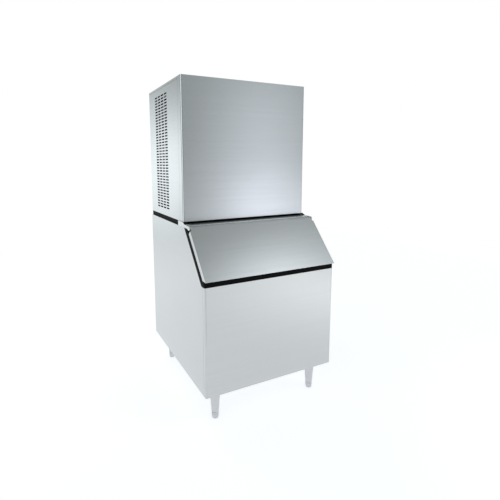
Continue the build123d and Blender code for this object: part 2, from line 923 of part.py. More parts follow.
with BuildPart() as water_curtain:
    curtain_height = curtain_z - (evaporator_low_z - 30)
    with BuildSketch(Plane.YZ):
        with BuildLine():
            Polyline(
                (curtain_y - 1, curtain_z - 4),
                (curtain_y + 6, curtain_z - 40),
                (curtain_y + 6, curtain_z - curtain_height + 40),
                (curtain_y - 2, curtain_z - curtain_height),
            )
            offset(amount=2, side=Side.RIGHT)
        make_face()
    extrude(amount=curtain_half - 2, both=True)
    for hand in (-1, 1):
        with BuildSketch(Plane.YZ.offset(hand * curtain_half)):
            with BuildLine():
                Polyline(
                    (curtain_y - 5, curtain_z),
                    (curtain_y - 3, curtain_z - 24),
                    (curtain_y + 4, curtain_z - 24),
                    (curtain_y + 5, curtain_z),
                    close=True,
                )
            make_face()
            with Locations((curtain_y, curtain_z)):
                Circle(6)
                Circle(curtain_pin_radius + running_clearance, mode=Mode.SUBTRACT)
        extrude(amount=-hand * 4)
        with BuildSketch(Plane.YZ.offset(hand * curtain_half)):
            with Locations((curtain_y, curtain_z)):
                Circle(curtain_pin_radius + running_clearance)
        extrude(amount=-hand * 8, mode=Mode.SUBTRACT)
write(water_curtain, "water_curtain")

distributor_radius = 12.0
distributor_z = evaporator_z + evaporator_height / 2 + rim + distributor_radius
distributor_y = plate_front_y + 15
hose_x = frame_half + 30

with BuildPart() as distributor:
    with BuildSketch(Plane.YZ.offset(-evaporator_width / 2)):
        with Locations((distributor_y, distributor_z)):
            Circle(distributor_radius)
            Circle(distributor_radius - 2, mode=Mode.SUBTRACT)
    extrude(amount=evaporator_width / 2 + hose_x - 10)
    for hand in (-1, 1):
        end_x = hose_x - 10 if hand > 0 else -evaporator_width / 2
        with BuildSketch(Plane.YZ.offset(end_x)):
            with Locations((distributor_y, distributor_z)):
                Circle(distributor_radius)
        extrude(amount=-hand * 3)
    with BuildSketch(Plane.XZ.offset(-distributor_y)):
        with Locations((0, distributor_z)):
            with GridLocations(2 * cell, 1, cell_columns // 2, 1):
                Rectangle(5, 6)
    extrude(amount=distributor_radius + 1, mode=Mode.SUBTRACT)
write(distributor, "distributor")

trough_low_z = head_base_z + trough_above_base
trough_back_y = partition_y - partition_wall
trough_left_x = -frame_half
trough_right_x = frame_half + 96
trough_length = trough_right_x - trough_left_x
trough_x = (trough_left_x + trough_right_x) / 2
trough_y = trough_back_y - trough_depth / 2

with BuildPart() as water_trough:
    with Locations((trough_x, trough_y, trough_low_z)):
        Box(
            trough_length,
            trough_depth,
            trough_height,
            align=(Align.CENTER, Align.CENTER, Align.MIN),
        )
    fillet(water_trough.edges().filter_by(Axis.Z), radius=6)
    offset(
        amount=-trough_wall,
        openings=water_trough.faces().sort_by(Axis.Z)[-1],
    )
write(water_trough, "water_trough")

pump_x = hose_x + 26
pump_y = trough_y - 4
pump_low_z = trough_low_z + trough_wall + 3

with BuildPart() as water_pump:
    motor_low_z = trough_low_z + trough_height + 12
    turned(
        pump_x,
        pump_y,
        [
            (0, pump_low_z),
            (22, pump_low_z),
            (22, pump_low_z + 20),
            (8, pump_low_z + 20),
            (8, motor_low_z),
            (27, motor_low_z),
            (27, motor_low_z + 60),
            (0, motor_low_z + 60),
        ],
    )
    with Locations((pump_x, trough_back_y, motor_low_z + 20)):
        Box(30, trough_back_y - pump_y, 24, align=(Align.CENTER, Align.MAX, Align.CENTER))
write(water_pump, "water_pump")

with BuildPart() as water_hoses:
    pipe(
        [
            (pump_x - 22, pump_y - 2, pump_low_z + 10),
            (hose_x - 20, pump_y - 2, pump_low_z + 10),
            (hose_x - 20, distributor_y, distributor_z - distributor_radius - 0.2),
        ],
        6,
        14,
    )
write(water_hoses, "water_hoses")

float_axis_x = trough_left_x + 22
float_axis_z = trough_low_z + trough_height - 2
float_y = trough_y

with BuildPart() as float_valve:
    with Locations((trough_left_x, float_y, float_axis_z + 4)):
        Box(12, 24, 44, align=(Align.MAX, Align.CENTER, Align.CENTER))
    with Locations((trough_left_x - 12, float_y, trough_low_z + trough_height)):
        Box(40, 24, 10, align=(Align.MIN, Align.CENTER, Align.MIN))
    for hand in (-1, 1):
        with Locations((float_axis_x, float_y + hand * 10, trough_low_z + trough_height)):
            Box(12, 4, 9, align=(Align.CENTER, Align.CENTER, Align.MAX))
    with Locations(Plane.XZ.offset(-float_y - 12)):
        with Locations((float_axis_x, float_axis_z - 2)):
            Cylinder(1.5, 24, align=(Align.CENTER, Align.CENTER, Align.MIN))
write(float_valve, "float_valve")

float_droop = 12.0

with BuildPart() as float_arm:
    arm_z = float_axis_z - 2
    with BuildSketch(Plane.XZ.offset(-float_y - 6)):
        with BuildLine():
            Polyline(
                (float_axis_x, arm_z + 3.5),
                (float_axis_x + 52, arm_z + 3.5 - 52 * sin(radians(float_droop))),
                (float_axis_x + 52, arm_z - 1.5 - 52 * sin(radians(float_droop))),
                (float_axis_x, arm_z - 3.5),
                close=True,
            )
        make_face()
        with Locations((float_axis_x, arm_z)):
            Circle(4)
            Circle(1.5 + running_clearance, mode=Mode.SUBTRACT)
    extrude(amount=12)
    with Locations((float_axis_x + 66, float_y, arm_z - 52 * sin(radians(float_droop)) - 6)):
        Box(44, 34, 20)
    fillet(float_arm.edges().filter_by(Axis.Y).group_by(Axis.X)[-1], radius=5)
write(float_arm, "float_arm")

with BuildPart() as ice_probe:
    probe_x = -0.3 * evaporator_width
    probe_top_z = evaporator_z + evaporator_height / 2 + rim - 2
    with Locations((probe_x, plate_front_y, probe_top_z)):
        Box(18, 3, 76, align=(Align.CENTER, Align.MAX, Align.MAX))
    with Locations((probe_x, plate_front_y, probe_top_z - 66)):
        Box(5, 6, 14, align=(Align.CENTER, Align.MAX, Align.MAX))
write(ice_probe, "ice_probe")

# Control box with the ice, off and wash switch

box_left_x = frame_half + 62
box_right_x = inner_half - heavy_sheet - 3
box_low_z = head_base_z + 340
box_high_z = head_top_z - 60
box_depth = 92.0
box_front_y = partition_y - partition_wall - box_depth
box_x = (box_left_x + box_right_x) / 2
switch_z = box_low_z + 0.3 * (box_high_z - box_low_z)
switch_width = 14.0
switch_length = 22.0

with BuildPart() as control_box:
    with Locations((box_x, partition_y - partition_wall, (box_low_z + box_high_z) / 2)):
        Box(
            box_right_x - box_left_x,
            box_depth,
            box_high_z - box_low_z,
            align=(Align.CENTER, Align.MAX, Align.CENTER),
        )
    offset(amount=-1.5, openings=control_box.faces().sort_by(Axis.Y)[-1])
    with BuildSketch(Plane.XZ.offset(-box_front_y)):
        with Locations((box_x, switch_z)):
            Rectangle(switch_width + 1, switch_length + 1)
    extrude(amount=-1.5, mode=Mode.SUBTRACT)
write(control_box, "control_box")

switch_y = box_front_y + 5

with BuildPart() as switch_body:
    with BuildSketch(Plane.XZ.offset(-box_front_y)):
        with Locations((box_x, switch_z)):
            Rectangle(switch_width + 8, switch_length + 8)
    extrude(amount=1.5)
    with BuildSketch(Plane.XZ.offset(-box_front_y)):
        with Locations((box_x, switch_z)):
            Rectangle(switch_width + 1, switch_length + 1)
    extrude(amount=-22)
    with BuildSketch(Plane.XZ.offset(-box_front_y + 1.5)):
        with Locations((box_x, switch_z)):
            Rectangle(switch_width - 1, switch_length - 1)
    extrude(amount=-20, mode=Mode.SUBTRACT)
    with BuildSketch(Plane.YZ.offset(box_x - switch_width / 2 + 0.5)):
        with Locations((switch_y, switch_z)):
            Circle(1.2)
    extrude(amount=switch_width - 1)
write(switch_body, "switch_body")

with BuildPart() as mode_switch:
    rocker_half = (switch_length - 5) / 2
    with BuildSketch(Plane.YZ.offset(box_x - switch_width / 2 + 1)):
        with BuildLine():
            Polyline(
                (switch_y + 5, switch_z - 3),
                (switch_y - 1, switch_z - rocker_half),
                (switch_y - 8, switch_z - rocker_half),
                (switch_y - 5, switch_z),
                (switch_y - 8, switch_z + rocker_half),
                (switch_y - 1, switch_z + rocker_half),
                (switch_y + 5, switch_z + 3),
                close=True,
            )
        make_face()
        with Locations((switch_y, switch_z)):
            Circle(1.2 + running_clearance, mode=Mode.SUBTRACT)
    extrude(amount=switch_width - 2)
write(mode_switch, "mode_switch")

# Refrigeration plant, behind the partition

fan_y = vent_y
fan_z = head_base_z + 300
condenser_x = -inner_half + 8
core_depth = 34.0
core_x = condenser_x + core_depth / 2

with BuildPart() as condenser:
    with Locations((core_x, fan_y, fan_z)):
        Box(core_depth / 2, condenser_width - 10, condenser_height - 8)
        with GridLocations(1, (condenser_width - 24) / 23, 1, 24):
            Box(core_depth, 1.6, condenser_height - 4)
        with Locations((0, -condenser_width / 2, 0), (0, condenser_width / 2, 0)):
            Box(core_depth + 4, 12, condenser_height)
    with Locations((core_x, fan_y, floor_top_z)):
        Box(
            core_depth + 4,
            condenser_width,
            fan_z - condenser_height / 2 - floor_top_z,
            align=(Align.CENTER, Align.CENTER, Align.MIN),
        )
        Box(
            core_depth + 6,
            condenser_width - 30,
            fan_z - condenser_height / 2 - floor_top_z - 2,
            align=(Align.CENTER, Align.CENTER, Align.MIN),
            mode=Mode.SUBTRACT,
        )
write(condenser, "condenser")

shroud_x = condenser_x + core_depth + 2
shroud_depth = 30.0
ring_radius = fan_radius + 6
motor_x = shroud_x + shroud_depth + 24
motor_length = 58.0
motor_radius = 38.0

with BuildPart() as fan_shroud:
    with BuildSketch(Plane.YZ.offset(shroud_x)):
        with Locations((fan_y, fan_z)):
            Rectangle(condenser_width + 12, condenser_height)
            Circle(ring_radius, mode=Mode.SUBTRACT)
    extrude(amount=1.5)
    with BuildSketch(Plane.YZ.offset(shroud_x)):
        with Locations((fan_y, fan_z)):
            Circle(ring_radius + 1.5)
            Circle(ring_radius, mode=Mode.SUBTRACT)
    extrude(amount=shroud_depth)
    for hand in (-1, 1):
        with Locations((shroud_x, fan_y, fan_z + hand * (ring_radius + 8))):
            Box(
                motor_x - shroud_x + 20,
                16,
                2,
                align=(Align.MIN, Align.CENTER, Align.CENTER),
            )
        with Locations((motor_x + 18, fan_y, fan_z + hand * motor_radius)):
            Box(
                2,
                16,
                ring_radius + 9 - motor_radius,
                align=(Align.MIN, Align.CENTER, Align.MIN if hand > 0 else Align.MAX),
            )
write(fan_shroud, "fan_shroud")

with BuildPart() as fan_motor:
    with BuildSketch(Plane.YZ.offset(motor_x)):
        with Locations((fan_y, fan_z)):
            Circle(motor_radius)
    extrude(amount=motor_length)
    with BuildSketch(Plane.YZ.offset(motor_x)):
        with Locations((fan_y, fan_z)):
            Circle(shaft_radius + running_clearance)
    extrude(amount=motor_length - 10, mode=Mode.SUBTRACT)
write(fan_motor, "fan_motor")

hub_x = shroud_x + 6
hub_length = 26.0
hub_radius = 26.0

with BuildPart() as fan_shaft:
    with BuildSketch(Plane.YZ.offset(hub_x)):
        with Locations((fan_y, fan_z)):
            Circle(shaft_radius)
    extrude(amount=motor_x + motor_length - 12 - hub_x)
write(fan_shaft, "fan_shaft")

with BuildPart() as fan_blade:
    with BuildSketch(Plane.YZ.offset(hub_x)):
        with Locations((fan_y, fan_z)):
            Circle(hub_radius)
            Circle(shaft_radius, mode=Mode.SUBTRACT)
    extrude(amount=hub_length)
    for blade in range(fan_blades):
        around = radians(360 / fan_blades * blade)
        radial = Vector(0, cos(around), sin(around))
        tangent = Vector(0, -sin(around), cos(around))
        lean = radians(blade_lean)
        blade_plane = Plane(
            Vector(hub_x + hub_length / 2, fan_y, fan_z),
            x_dir=radial,
            z_dir=tangent * sin(lean) - Vector(cos(lean), 0, 0),
        )
        with BuildSketch(blade_plane):
            with BuildLine():
                root = Line((hub_radius - 3, 10), (hub_radius - 3, -10))
                lead = Line(root @ 1, (fan_radius - 12, -34))
                tip = RadiusArc(lead @ 1, (fan_radius - 12, 30), -fan_radius)
                Line(tip @ 1, root @ 0)
            make_face()
        extrude(amount=0.9, both=True)
write(fan_blade, "fan_blade")

compressor_x = 0.13 * head_width
compressor_y = (partition_y + bin_back_y) / 2 + 6
grommet_height = 14.0
compressor_low_z = floor_top_z + grommet_height
compressor_top_z = compressor_low_z + 3 + compressor_height
compressor_half = 78.0
grommet_places = [
    (compressor_x + hand_x * compressor_half, compressor_y + hand_y * compressor_half)
    for hand_x in (-1, 1)
    for hand_y in (-1, 1)
]

with BuildPart() as compressor_grommets:
    for x, y in grommet_places:
        with Locations((x, y, floor_top_z)):
            Cylinder(12, grommet_height, align=(Align.CENTER, Align.CENTER, Align.MIN))
write(compressor_grommets, "compressor_grommets")

with BuildPart() as compressor:
    with Locations((compressor_x, compressor_y, compressor_low_z)):
        Box(
            2 * compressor_half + 36,
            2 * compressor_half + 36,
            3,
            align=(Align.CENTER, Align.CENTER, Align.MIN),
        )
    fillet(compressor.edges().filter_by(Axis.Z), radius=14)
    can_low_z = compressor_low_z + 3
    turned(
        compressor_x,
        compressor_y,
        [
            (0, can_low_z),
            (compressor_radius - 14, can_low_z),
            (compressor_radius, can_low_z + 16),
            (compressor_radius, compressor_top_z - 44),
            (compressor_radius - 12, compressor_top_z - 16),
            (compressor_radius - 38, compressor_top_z),
            (0, compressor_top_z),
        ],
    )
write(compressor, "compressor")

drier_radius = 15.0
drier_length = 110.0
drier_x = -0.2 * head_width
drier_y = partition_y + drier_radius
drier_z = fan_z - condenser_height / 2 + 30

with BuildPart() as drier:
    with BuildSketch(Plane.YZ.offset(drier_x)):
        with Locations((drier_y, drier_z)):
            Circle(drier_radius)
    extrude(amount=drier_length)
write(drier, "drier")

valve_y = coil_end_y + 15

with BuildPart() as expansion_valve:
    with Locations((coil_end_x, coil_end_y, coil_low_z)):
        Box(26, 30, 26, align=(Align.CENTER, Align.MIN, Align.CENTER))
    with BuildSketch(Plane.XY.offset(coil_low_z - 34)):
        with Locations((coil_end_x, valve_y)):
            Circle(17)
    extrude(amount=24)
write(expansion_valve, "expansion_valve")

hot_valve_z = coil_low_z + 70

with BuildPart() as hot_gas_valve:
    with BuildSketch(Plane.XY.offset(coil_low_z + 13)):
        with Locations((coil_end_x, valve_y)):
            Circle(pipe_radius)
    extrude(amount=hot_valve_z - coil_low_z - 13)
    with Locations((coil_end_x, valve_y, hot_valve_z)):
        Box(28, 28, 24, align=(Align.CENTER, Align.CENTER, Align.MIN))
    with BuildSketch(Plane.YZ.offset(coil_end_x + 14)):
        with Locations((valve_y, hot_valve_z + 12)):
            Circle(13)
    extrude(amount=34)
write(hot_gas_valve, "hot_gas_valve")

plate_end_y = fan_y + condenser_width / 2 + 6
header_y = plate_end_y + 34
discharge_z = fan_z + condenser_height / 2 - 30
suction_x = coil_end_x - 60
line_bend = 16.0

with BuildPart() as refrigerant_lines:
    pipe(
        [
            (compressor_x - 30, compressor_y + 30, compressor_top_z),
            (compressor_x - 30, compressor_y + 30, discharge_z),
            (compressor_x - 30, header_y, discharge_z),
            (core_x, header_y, discharge_z),
            (core_x, plate_end_y, discharge_z),
        ],
        pipe_radius,
        line_bend,
    )
    pipe(
        [
            (coil_end_x, coil_end_y, coil_high_z),
            (coil_end_x, coil_end_y + 40, coil_high_z),
            (suction_x, coil_end_y + 40, coil_high_z),
            (suction_x, coil_end_y + 40, compressor_low_z + 120),
            (suction_x, compressor_y - compressor_radius, compressor_low_z + 120),
        ],
        pipe_radius,
        line_bend,
    )
    pipe(
        [
            (core_x, plate_end_y, drier_z),
            (core_x, header_y, drier_z),
            (drier_x - 40, header_y, drier_z),
            (drier_x - 40, drier_y, drier_z),
            (drier_x, drier_y, drier_z),
        ],
        pipe_radius - 1,
        line_bend,
    )
    pipe(
        [
            (drier_x + drier_length, drier_y, drier_z),
            (coil_end_x, drier_y, drier_z),
            (coil_end_x, valve_y, drier_z + 60),
            (coil_end_x, valve_y, coil_low_z - 34),
        ],
        pipe_radius - 1,
        line_bend,
    )
write(refrigerant_lines, "refrigerant_lines")

# Fittings on the back: water inlet valve, drain and cable gland

with BuildPart() as water_valve:
    back_tube(inlet_x, inlet_z, fitting_radius, bin_back_y - sheet)
    with Locations((inlet_x, bin_back_y - sheet, inlet_z)):
        Box(44, 6, 40, align=(Align.CENTER, Align.MAX, Align.CENTER))
        Box(30, 34, 30, align=(Align.CENTER, Align.MAX, Align.CENTER))
    bore_tube(inlet_x, inlet_z, fitting_radius - 4, bin_back_y - sheet)
    with BuildSketch(Plane.XY.offset(inlet_z + 15)):
        with Locations((inlet_x, bin_back_y - sheet - 18)):
            Circle(15)
    extrude(amount=36)
write(water_valve, "water_valve")

with BuildPart() as head_drain:
    head_drain_y = partition_y - 12
    back_tube(head_drain_x, head_drain_z, drain_radius, head_drain_y)
    bore_tube(head_drain_x, head_drain_z, drain_radius - drain_wall, head_drain_y)
write(head_drain, "head_drain")

with BuildPart() as cable_gland:
    with BuildSketch(Plane.XZ.offset(-bin_back_y - 16)):
        with Locations((gland_x, gland_z)):
            Circle(gland_radius)
    extrude(amount=16 + 14)
    with BuildSketch(Plane.XZ.offset(-bin_back_y)):
        with Locations((gland_x, gland_z)):
            RegularPolygon(gland_radius + 4, 6)
    extrude(amount=-7)
    with BuildSketch(Plane.XZ.offset(-bin_back_y - 16)):
        with Locations((gland_x, gland_z)):
            Circle(5)
    extrude(amount=40, mode=Mode.SUBTRACT)
write(cable_gland, "cable_gland")

with BuildPart() as bin_probe:
    bulb_x = drop_length / 2 + 30
    with BuildSketch(Plane.XY.offset(ceiling_z - liner_wall)):
        with Locations((bulb_x, chute_y)):
            Circle(16)
    extrude(amount=-4)
    with BuildSketch(Plane.XY.offset(ceiling_z - liner_wall - 4)):
        with Locations((bulb_x, chute_y)):
            Circle(5)
    extrude(amount=-110)
write(bin_probe, "bin_probe")
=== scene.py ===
"""Looks of a modular ice machine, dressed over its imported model.

Every length is in metres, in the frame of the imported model: +Z up, +Y to the back, origin on
the floor under the middle of the machine.
"""

from __future__ import annotations

import json
import logging
import math
from dataclasses import dataclass, field
from enum import Enum

import bmesh
import bpy
from mathutils import Matrix, Vector

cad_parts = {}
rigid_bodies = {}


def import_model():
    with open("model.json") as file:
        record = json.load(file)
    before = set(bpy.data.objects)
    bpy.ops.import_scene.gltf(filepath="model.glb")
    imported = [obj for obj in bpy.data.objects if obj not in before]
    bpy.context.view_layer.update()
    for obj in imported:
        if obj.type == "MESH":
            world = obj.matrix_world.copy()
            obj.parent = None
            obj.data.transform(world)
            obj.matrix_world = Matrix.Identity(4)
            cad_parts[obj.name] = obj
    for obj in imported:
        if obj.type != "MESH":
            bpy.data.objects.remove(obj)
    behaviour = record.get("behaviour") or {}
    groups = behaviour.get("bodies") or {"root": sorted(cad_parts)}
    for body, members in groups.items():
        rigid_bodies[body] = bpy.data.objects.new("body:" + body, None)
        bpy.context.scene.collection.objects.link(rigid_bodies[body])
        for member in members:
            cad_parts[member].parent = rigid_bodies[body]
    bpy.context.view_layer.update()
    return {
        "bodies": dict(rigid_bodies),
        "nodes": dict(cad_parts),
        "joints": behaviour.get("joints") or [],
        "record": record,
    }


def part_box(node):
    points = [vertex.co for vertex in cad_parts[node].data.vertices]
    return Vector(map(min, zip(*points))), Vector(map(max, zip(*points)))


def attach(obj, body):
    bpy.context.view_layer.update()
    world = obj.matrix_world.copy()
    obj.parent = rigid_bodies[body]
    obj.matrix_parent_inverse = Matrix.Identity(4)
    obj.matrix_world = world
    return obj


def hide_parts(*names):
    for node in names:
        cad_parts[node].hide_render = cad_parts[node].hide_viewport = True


LOG = logging.getLogger("ice_machine")

Colour = tuple[float, float, float]
Place = tuple[float, float, float]
Outline = list[tuple[float, float]]
UP: Place = (0.0, 0.0, 1.0)
RIGHT: Place = (1.0, 0.0, 0.0)
BACK: Place = (0.0, 1.0, 0.0)
FRONT: Place = (0.0, -1.0, 0.0)
ORIGIN: Place = (0.0, 0.0, 0.0)
WHITE: Colour = (1.0, 1.0, 1.0)
SHARP_ANGLE = 0.6
FLAT_ANGLE = 0.004
WELD_DISTANCE = 0.00002
SEAM_DISTANCE = 0.000005


# Shader graphs


class Signal:
    """An output socket that takes part in Python expressions."""

    def __init__(self, graph: Graph, socket: bpy.types.NodeSocket) -> None:
        """Keep the graph and the socket."""
        self.graph = graph
        self.socket = socket

    def __add__(self, other: Signal | float) -> Signal:
        """Add."""
        return self.graph.maths("ADD", self, other)

    def __sub__(self, other: Signal | float) -> Signal:
        """Subtract."""
        return self.graph.maths("SUBTRACT", self, other)

    def __mul__(self, other: Signal | float) -> Signal:
        """Multiply."""
        return self.graph.maths("MULTIPLY", self, other)

    def clamped(self) -> Signal:
        """Hold it between nought and one."""
        return self.graph.maths("MAXIMUM", self.graph.maths("MINIMUM", self, 1.0), 0.0)


class Graph:
    """A node tree that is filled one node at a time."""

    def __init__(self, tree: bpy.types.NodeTree) -> None:
        """Empty the tree.

        Args:
            tree: The node tree of a material or world.
        """
        self.tree = tree
        self.tree.nodes.clear()

    def node(
        self,
        kind: str,
        settings: dict | None = None,
        inputs: dict | None = None,
        output: int | str = 0,
    ) -> Signal:
        """Add one node.

        Args:
            kind: The node's type.
            settings: Its properties, set before its sockets.
            inputs: Values or signals for its sockets, by name or number.
            output: The output that is wanted, by name or number.

        Returns:
            The signal of that output.
        """
        made = self.tree.nodes.new(kind)
        for name, value in (settings or {}).items():
            setattr(made, name, value)
        for name, value in (inputs or {}).items():
            self.feed(made.inputs[name], value)
        return Signal(self, made.outputs[output] if made.outputs else made.inputs[0])

    def feed(self, socket: bpy.types.NodeSocket, value: Signal | float | tuple) -> None:
        """Link a signal to a socket, or set the socket's own value."""
        if isinstance(value, Signal):
            self.tree.links.new(value.socket, socket)
        elif isinstance(value, tuple) and socket.type == "RGBA" and len(value) == 3:
            socket.default_value = (*value, 1.0)
        else:
            socket.default_value = value

    def maths(self, operation: str, first: Signal | float, second: Signal | float) -> Signal:
        """Add a Math node of two inputs."""
        return self.node("ShaderNodeMath", {"operation": operation}, {0: first, 1: second})

    def vectors(
        self, operation: str, first: Signal | tuple, second: Signal | tuple | float
    ) -> Signal:
        """Add a Vector Math node.

        Args:
            operation: The node's operation.
            first: The first vector.
            second: The second vector, or the factor of a SCALE.

        Returns:
            Its vector, or its value for a DOT_PRODUCT.
        """
        slot = 3 if operation == "SCALE" else 1
        output = 1 if operation == "DOT_PRODUCT" else 0
        settings = {"operation": operation}
        return self.node("ShaderNodeVectorMath", settings, {0: first, slot: second}, output)

    def mix(self, share: Signal | float, first: Signal | Colour, second: Signal | Colour) -> Signal:
        """Blend two colours."""
        return self.node(
            "ShaderNodeMix",
            {"data_type": "RGBA"},
            {0: share, 6: first, 7: second},
            output=2,
        )

    def coordinates(self, scale: Place) -> Signal:
        """Object coordinates, scaled along each axis."""
        place = self.node("ShaderNodeTexCoord", output="Object")
        return self.node("ShaderNodeMapping", inputs={"Vector": place, "Scale": scale})

    def noise(self, scale: Place | float, detail: float = 2.0) -> Signal:
        """Soft noise between nought and one, with as many waves to a metre as its scale."""
        sides = scale if isinstance(scale, tuple) else (scale, scale, scale)
        return self.node(
            "ShaderNodeTexNoise",
            inputs={"Vector": self.coordinates(sides), "Scale": 1.0, "Detail": detail},
        )

    def cells(self, scale: float, feature: str, output: str) -> Signal:
        """Cells as many to a metre as their scale, by their distance or colour."""
        place = self.coordinates((scale, scale, scale))
        inputs = {"Vector": place, "Scale": 1.0}
        return self.node("ShaderNodeTexVoronoi", {"feature": feature}, inputs, output)

    def bump(self, height: Signal, strength: float, distance: float) -> Signal:
        """A normal that follows a height in metres times distance."""
        return self.node(
            "ShaderNodeBump",
            inputs={"Height": height, "Strength": strength, "Distance": distance},
        )


class Grain(Enum):
    """The way a sheet was ground: along which axis its scratches run."""

    ALONG_X = (3.0, 620.0, 620.0)
    ALONG_Y = (620.0, 3.0, 620.0)
    ALONG_Z = (620.0, 620.0, 3.0)


# Finishes


@dataclass(frozen=True)
class Finish:
    """A surface with one Principled shader.

    Attributes:
        name: The material's name.
        colour: Its base colour.
        roughness: Its mean roughness.
    """

    name: str
    colour: Colour
    roughness: float

    def sockets(self, graph: Graph) -> dict:
        """The values and signals of the Principled shader."""
        return {"Base Color": self.colour, "Roughness": self.roughness}

    def material(self) -> bpy.types.Material:
        """Build the material."""
        made = bpy.data.materials.new(self.name)
        made.use_nodes = True
        graph = Graph(made.node_tree)
        shader = graph.node("ShaderNodeBsdfPrincipled", inputs=self.sockets(graph))
        graph.node("ShaderNodeOutputMaterial", inputs={"Surface": shader})
        made.diffuse_color = (*self.colour, 1.0)
        return made

    def shade(self, graph: Graph, share: Signal, low: float, high: float) -> Signal:
        """The base colour, darkened or lightened by a share."""
        dark = tuple(min(1.0, part * low) for part in self.colour)
        light = tuple(min(1.0, part * high) for part in self.colour)
        return graph.mix(share, dark, light)

    def uneven(self, waves: Signal, mean: float) -> Signal:
        """The roughness with waves laid over it, less what they add on the whole."""
        return (waves + (self.roughness - mean)).clamped()


@dataclass(frozen=True)
class GroundSteel(Finish):
    """Stainless sheet with a ground grain and faint clouds.

    Attributes:
        grain: The way that the scratches run.
        streak_width: How many times wider than a scratch a streak is.
        scratch_depth: How deep the scratches are.
    """

    grain: Grain = Grain.ALONG_X
    streak_width: float = 9.0
    scratch_depth: float = 0.00006

    def sockets(self, graph: Graph) -> dict:
        """Fine scratches, wider streaks and faint clouds."""
        wider = tuple(max(1.0, part / self.streak_width) for part in self.grain.value)
        fine = graph.noise(self.grain.value, 3.0)
        streak = graph.noise(wider, 2.0)
        cloud = graph.noise(2.6, 3.0)
        share = (fine * 0.55 + streak * 0.45).clamped()
        return {
            "Base Color": self.shade(graph, share, 0.93, 1.05),
            "Metallic": 1.0,
            "Roughness": self.uneven(fine * 0.10 + cloud * 0.06, 0.08),
            "Normal": graph.bump(fine * 0.7 + streak * 0.3, 0.22, self.scratch_depth),
        }


@dataclass(frozen=True)
class Galvanised(Finish):
    """Zinc-coated sheet with its frosted crystals.

    Attributes:
        crystals: How many crystals lie along a metre.
        relief: How high they stand.
    """

    crystals: float = 70.0
    relief: float = 0.0002

    def sockets(self, graph: Graph) -> dict:
        """Crystals of differing brightness."""
        colour = graph.cells(self.crystals, "F1", "Color")
        tone = graph.node("ShaderNodeSeparateXYZ", inputs={0: colour}, output="X")
        cloud = graph.noise(9.0, 3.0)
        return {
            "Base Color": self.shade(graph, tone * 0.7 + cloud * 0.3, 0.80, 1.10),
            "Metallic": 1.0,
            "Roughness": self.uneven(tone * 0.16, 0.08),
            "Normal": graph.bump(tone + cloud, 0.10, self.relief),
        }


@dataclass(frozen=True)
class Metal(Finish):
    """Bare metal, turned, cast or drawn, with slight tarnish.

    Attributes:
        tarnish: How much darker the tarnish is.
        pitted: How deep the skin's pits are.
    """

    tarnish: float = 0.2
    pitted: float = 0.0001

    def sockets(self, graph: Graph) -> dict:
        """Clouds of tarnish and a fine skin."""
        cloud = graph.noise(38.0, 4.0)
        skin = graph.noise(900.0, 2.0)
        return {
            "Base Color": self.shade(graph, cloud, 1.0 - self.tarnish, 1.05),
            "Metallic": 1.0,
            "Roughness": self.uneven(cloud * 0.12 + skin * 0.05, 0.08),
            "Normal": graph.bump(skin, 0.25, self.pitted),
        }


@dataclass(frozen=True)
class Moulding(Finish):
    """Moulded plastic or rubber with a fine grain.

    Attributes:
        grain_size: The width of one grain.
        depth: How deep the grain is.
        shine: The shader's level of mirror light.
    """

    grain_size: float = 0.0012
    depth: float = 0.00008
    shine: float = 0.5

    def sockets(self, graph: Graph) -> dict:
        """A leathery fine grain and soft uneven tone."""
        grain = graph.cells(1.0 / self.grain_size, "SMOOTH_F1", "Distance")
        cloud = graph.noise(14.0, 3.0)
        return {
            "Base Color": self.shade(graph, cloud, 0.90, 1.10),
            "Roughness": self.uneven(cloud * 0.10 + grain * 0.08, 0.08),
            "Specular IOR Level": self.shine,
            "Normal": graph.bump(grain, 0.30, self.depth),
        }


@dataclass(frozen=True)
class ClearMoulding(Finish):
    """Milky see-through plastic.

    Attributes:
        alpha: How far it hides what is behind it.
        flow_depth: How deep the flow marks are.
    """

    alpha: float = 0.55
    flow_depth: float = 0.0006

    def sockets(self, graph: Graph) -> dict:
        """Flow marks and a part-clear body."""
        flow = graph.noise((5.0, 5.0, 34.0), 3.0)
        return {
            "Base Color": self.shade(graph, flow, 0.93, 1.05),
            "Roughness": self.uneven(flow * 0.14, 0.06),
            "Alpha": (flow * 0.12 + self.alpha).clamped(),
            "Normal": graph.bump(flow, 0.12, self.flow_depth),
        }


@dataclass(frozen=True)
class Enamel(Finish):
    """Baked enamel or powder coat with orange peel.

    Attributes:
        peel: The width of one dimple.
        peel_depth: How deep the dimples are.
    """

    peel: float = 0.0035
    peel_depth: float = 0.0002

    def sockets(self, graph: Graph) -> dict:
        """Orange peel and a film of dust."""
        peel = graph.noise(1.0 / self.peel, 2.0)
        dust = graph.noise(22.0, 4.0)
        return {
            "Base Color": self.shade(graph, dust, 0.85, 1.25),
            "Roughness": self.uneven(dust * 0.14, 0.06),
            "Normal": graph.bump(peel, 0.25, self.peel_depth),
        }


@dataclass(frozen=True)
class Foam(Finish):
    """Rigid foam, cut or foamed in place.

    Attributes:
        cells: How many cells lie along a metre.
        cell_depth: How deep a cut cell is.
    """

    cells: float = 640.0
    cell_depth: float = 0.0008

    def sockets(self, graph: Graph) -> dict:
        """Small cells."""
        cells = graph.cells(self.cells, "F1", "Distance")
        cloud = graph.noise(11.0, 3.0)
        return {
            "Base Color": self.shade(graph, cells * 0.5 + cloud * 0.5, 0.80, 1.08),
            "Roughness": self.roughness,
            "Normal": graph.bump(cells, 0.5, self.cell_depth),
        }


